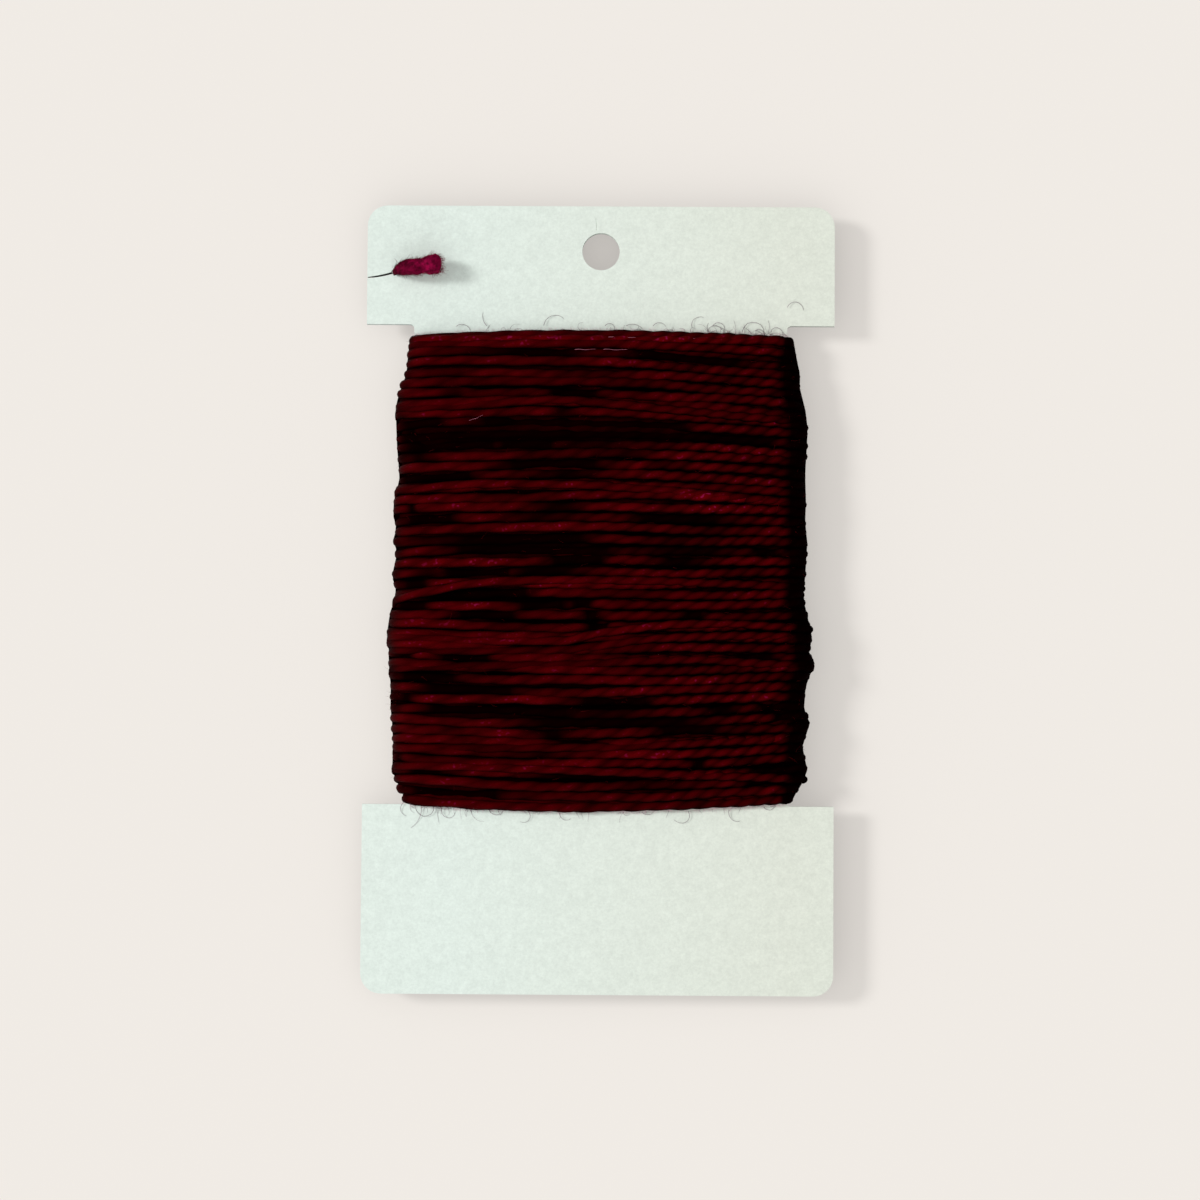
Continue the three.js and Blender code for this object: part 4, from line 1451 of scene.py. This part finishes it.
def border_hairs(rng):
    """The charted curls, and shorter hairs that gather towards one place along each border."""
    lines, radii = [], []
    for row in TOP_CURLS + BOTTOM_CURLS:
        curl = dict(zip(CURL_COLUMNS, row))
        lines.append(curl_line(
            rng, curl["x"], curl["y"], CARD_FRONT_Z + 0.3, curl["heading"], curl["length"],
            curl["curl"], 0.1))
        radii.append(CURL_RADIUS)
    for top in (True, False):
        sense = 1 if top else -1
        for _ in range(BORDER_HAIRS):
            spread = rng.uniform(-24.5, 24.5)
            gathered = rng.normal(17, 4.5) if top else rng.normal(-17, 6)
            x = float(np.clip(gathered if rng.random() < 0.5 else spread, -24.8, 24.8))
            heading = sense * 90 + rng.normal(0, 50)
            lines.append(curl_line(
                rng, x, border_height(x, top), CARD_FRONT_Z + rng.uniform(0.1, 0.6), heading,
                rng.gamma(3.0, 0.36), rng.normal(0, 90), rng.uniform(0, 0.15)))
            radii.append(rng.uniform(0.022, 0.034))
    return hair_mesh("border_hairs", lines, radii)


def border_down(rng):
    """Very short, fine wool fibres all along both borders, coloured pale pink as painted light over the
    shade there.
    """
    lines, radii = [], []
    for top in (True, False):
        sense = 1 if top else -1
        for _ in range(BORDER_DOWN):
            x = rng.uniform(-25, 25)
            heading = sense * 90 + rng.normal(0, 55)
            lines.append(curl_line(
                rng, x, border_height(x, top) - sense * 0.2, CARD_FRONT_Z + rng.uniform(0.05, 0.7), heading,
                rng.uniform(0.3, 0.8), rng.normal(0, 60), 0.05))
            radii.append(rng.uniform(0.008, 0.014))
    return hair_mesh("border_down", lines, radii)


def turn_hairs(rng):
    """Short hairs that stand off the turns, on the front and round both edges."""
    lines, radii = [], []
    for _ in range(TURN_HAIRS):
        y = rng.uniform(WINDING_BOTTOM_Y + 0.5, WINDING_TOP_Y - 0.5)
        left, right, front_z, back_z, reach = loop_shape(y, 0.25)
        # One number is passed over, so that each hair keeps its place
        rng.random()
        x = rng.uniform(left, right) if rng.random() < 0.55 else (left if rng.random() < 0.5 else right)
        out = np.array([0.0, 0.0, 1.0])
        if x in (left, right):
            bend = rng.uniform(0.1, 1.9)
            out = np.array([math.sin(bend) * (-1 if x == left else 1), 0.0, math.cos(bend)])
        depth = front_z if out[2] > 0 else back_z
        start = np.array([x + reach * out[0], y, CARD_MIDDLE_Z + depth * out[2]])
        along = np.cross(out, [0, 1, 0]) * rng.choice([-1, 1])
        way = unit(along * rng.uniform(0.4, 1.4) + out * rng.uniform(0.1, 0.6) + rng.normal(0, 0.35, 3))
        swing = rng.normal(0, 0.5, 3)
        length = rng.gamma(3.0, 0.2)
        steps = np.linspace(0, 1, HAIR_POINTS)
        lines.append([start + way * length * t + swing * length * t * t * 0.6 for t in steps])
        radii.append(rng.uniform(0.01, 0.018))
    lines = np.array(lines)
    lines[..., 2] = np.maximum(lines[..., 2], 0.1)
    return hair_mesh("turn_hairs", lines, radii)


def pale_filaments():
    """The few stray filaments that lie along the turns, coloured pale as painted highlights."""
    lines = []
    t = np.linspace(0, 1, FILAMENT_POINTS)
    for row in PALE_FILAMENTS:
        run = dict(zip(PALE_COLUMNS, row))
        x = run["x1"] + (run["x2"] - run["x1"]) * t
        y = run["y1"] + (run["y2"] - run["y1"]) * t + 0.04 * np.sin(9 * t)
        rise = np.array([loop_shape(height, 0)[2] for height in y])
        lines.append(np.stack([x, y, CARD_MIDDLE_Z + rise + 0.1 + 0.03 * np.sin(14 * t)], 1))
    return hair_mesh("pale_filaments", lines, FILAMENT_RADIUS)


class THREAD_OT_fuzz(bpy.types.Operator):
    """Adds the hairs that stand off the winding, its borders and the stray bright filaments"""

    bl_idname = "thread.fuzz"
    bl_label = "Fuzz"

    def execute(self, context):
        settings = context.scene.thread_settings
        rng = np.random.default_rng(41)
        settle(border_hairs(rng), plain_hair("single wool hairs", settings.hair_colour), "thread")
        # The down's pale pink is painted light over the borders' shade
        settle(border_down(rng), plain_hair("pale wool down", settings.down_glow_colour), "thread")
        settle(turn_hairs(rng), plain_hair("wool hairs on the turns", settings.colour), "thread")
        settle(pale_filaments(), plain_hair("pale silky filament", settings.filament_highlight_colour), "thread")
        return {"FINISHED"}


class THREAD_PT_panel(bpy.types.Panel):
    """The sidebar panel that lists the pieces and their settings"""

    bl_idname = "THREAD_PT_panel"
    bl_label = "Thread card"
    bl_space_type = "VIEW_3D"
    bl_region_type = "UI"
    bl_category = "Thread card"

    def draw(self, context):
        for name in SETTINGS:
            box = self.layout.box()
            group = getattr(context.scene, name)
            for field in group.bl_rna.properties.keys():
                if field not in ("rna_type", "name"):
                    box.prop(group, field)
        for operator in OPERATORS:
            self.layout.operator(operator.bl_idname)


OPERATORS = (THREAD_OT_stage, THREAD_OT_loose_end, THREAD_OT_card, THREAD_OT_winding, THREAD_OT_fuzz)


def register():
    """Adds the settings, the operators and the panel."""
    for cls in (*SETTINGS.values(), *OPERATORS, THREAD_PT_panel):
        bpy.utils.register_class(cls)
    for name, cls in SETTINGS.items():
        setattr(bpy.types.Scene, name, bpy.props.PointerProperty(type=cls))


def unregister():
    """Takes them away again."""
    for name in SETTINGS:
        delattr(bpy.types.Scene, name)
    for cls in (THREAD_PT_panel, *reversed(OPERATORS), *reversed(SETTINGS.values())):
        bpy.utils.unregister_class(cls)


def main():
    """Builds everything in order."""
    register()
    bpy.ops.thread.stage()
    bpy.ops.thread.loose_end()
    bpy.ops.thread.card()
    bpy.ops.thread.winding()
    bpy.ops.thread.fuzz()


if __name__ == "__main__":
    main()
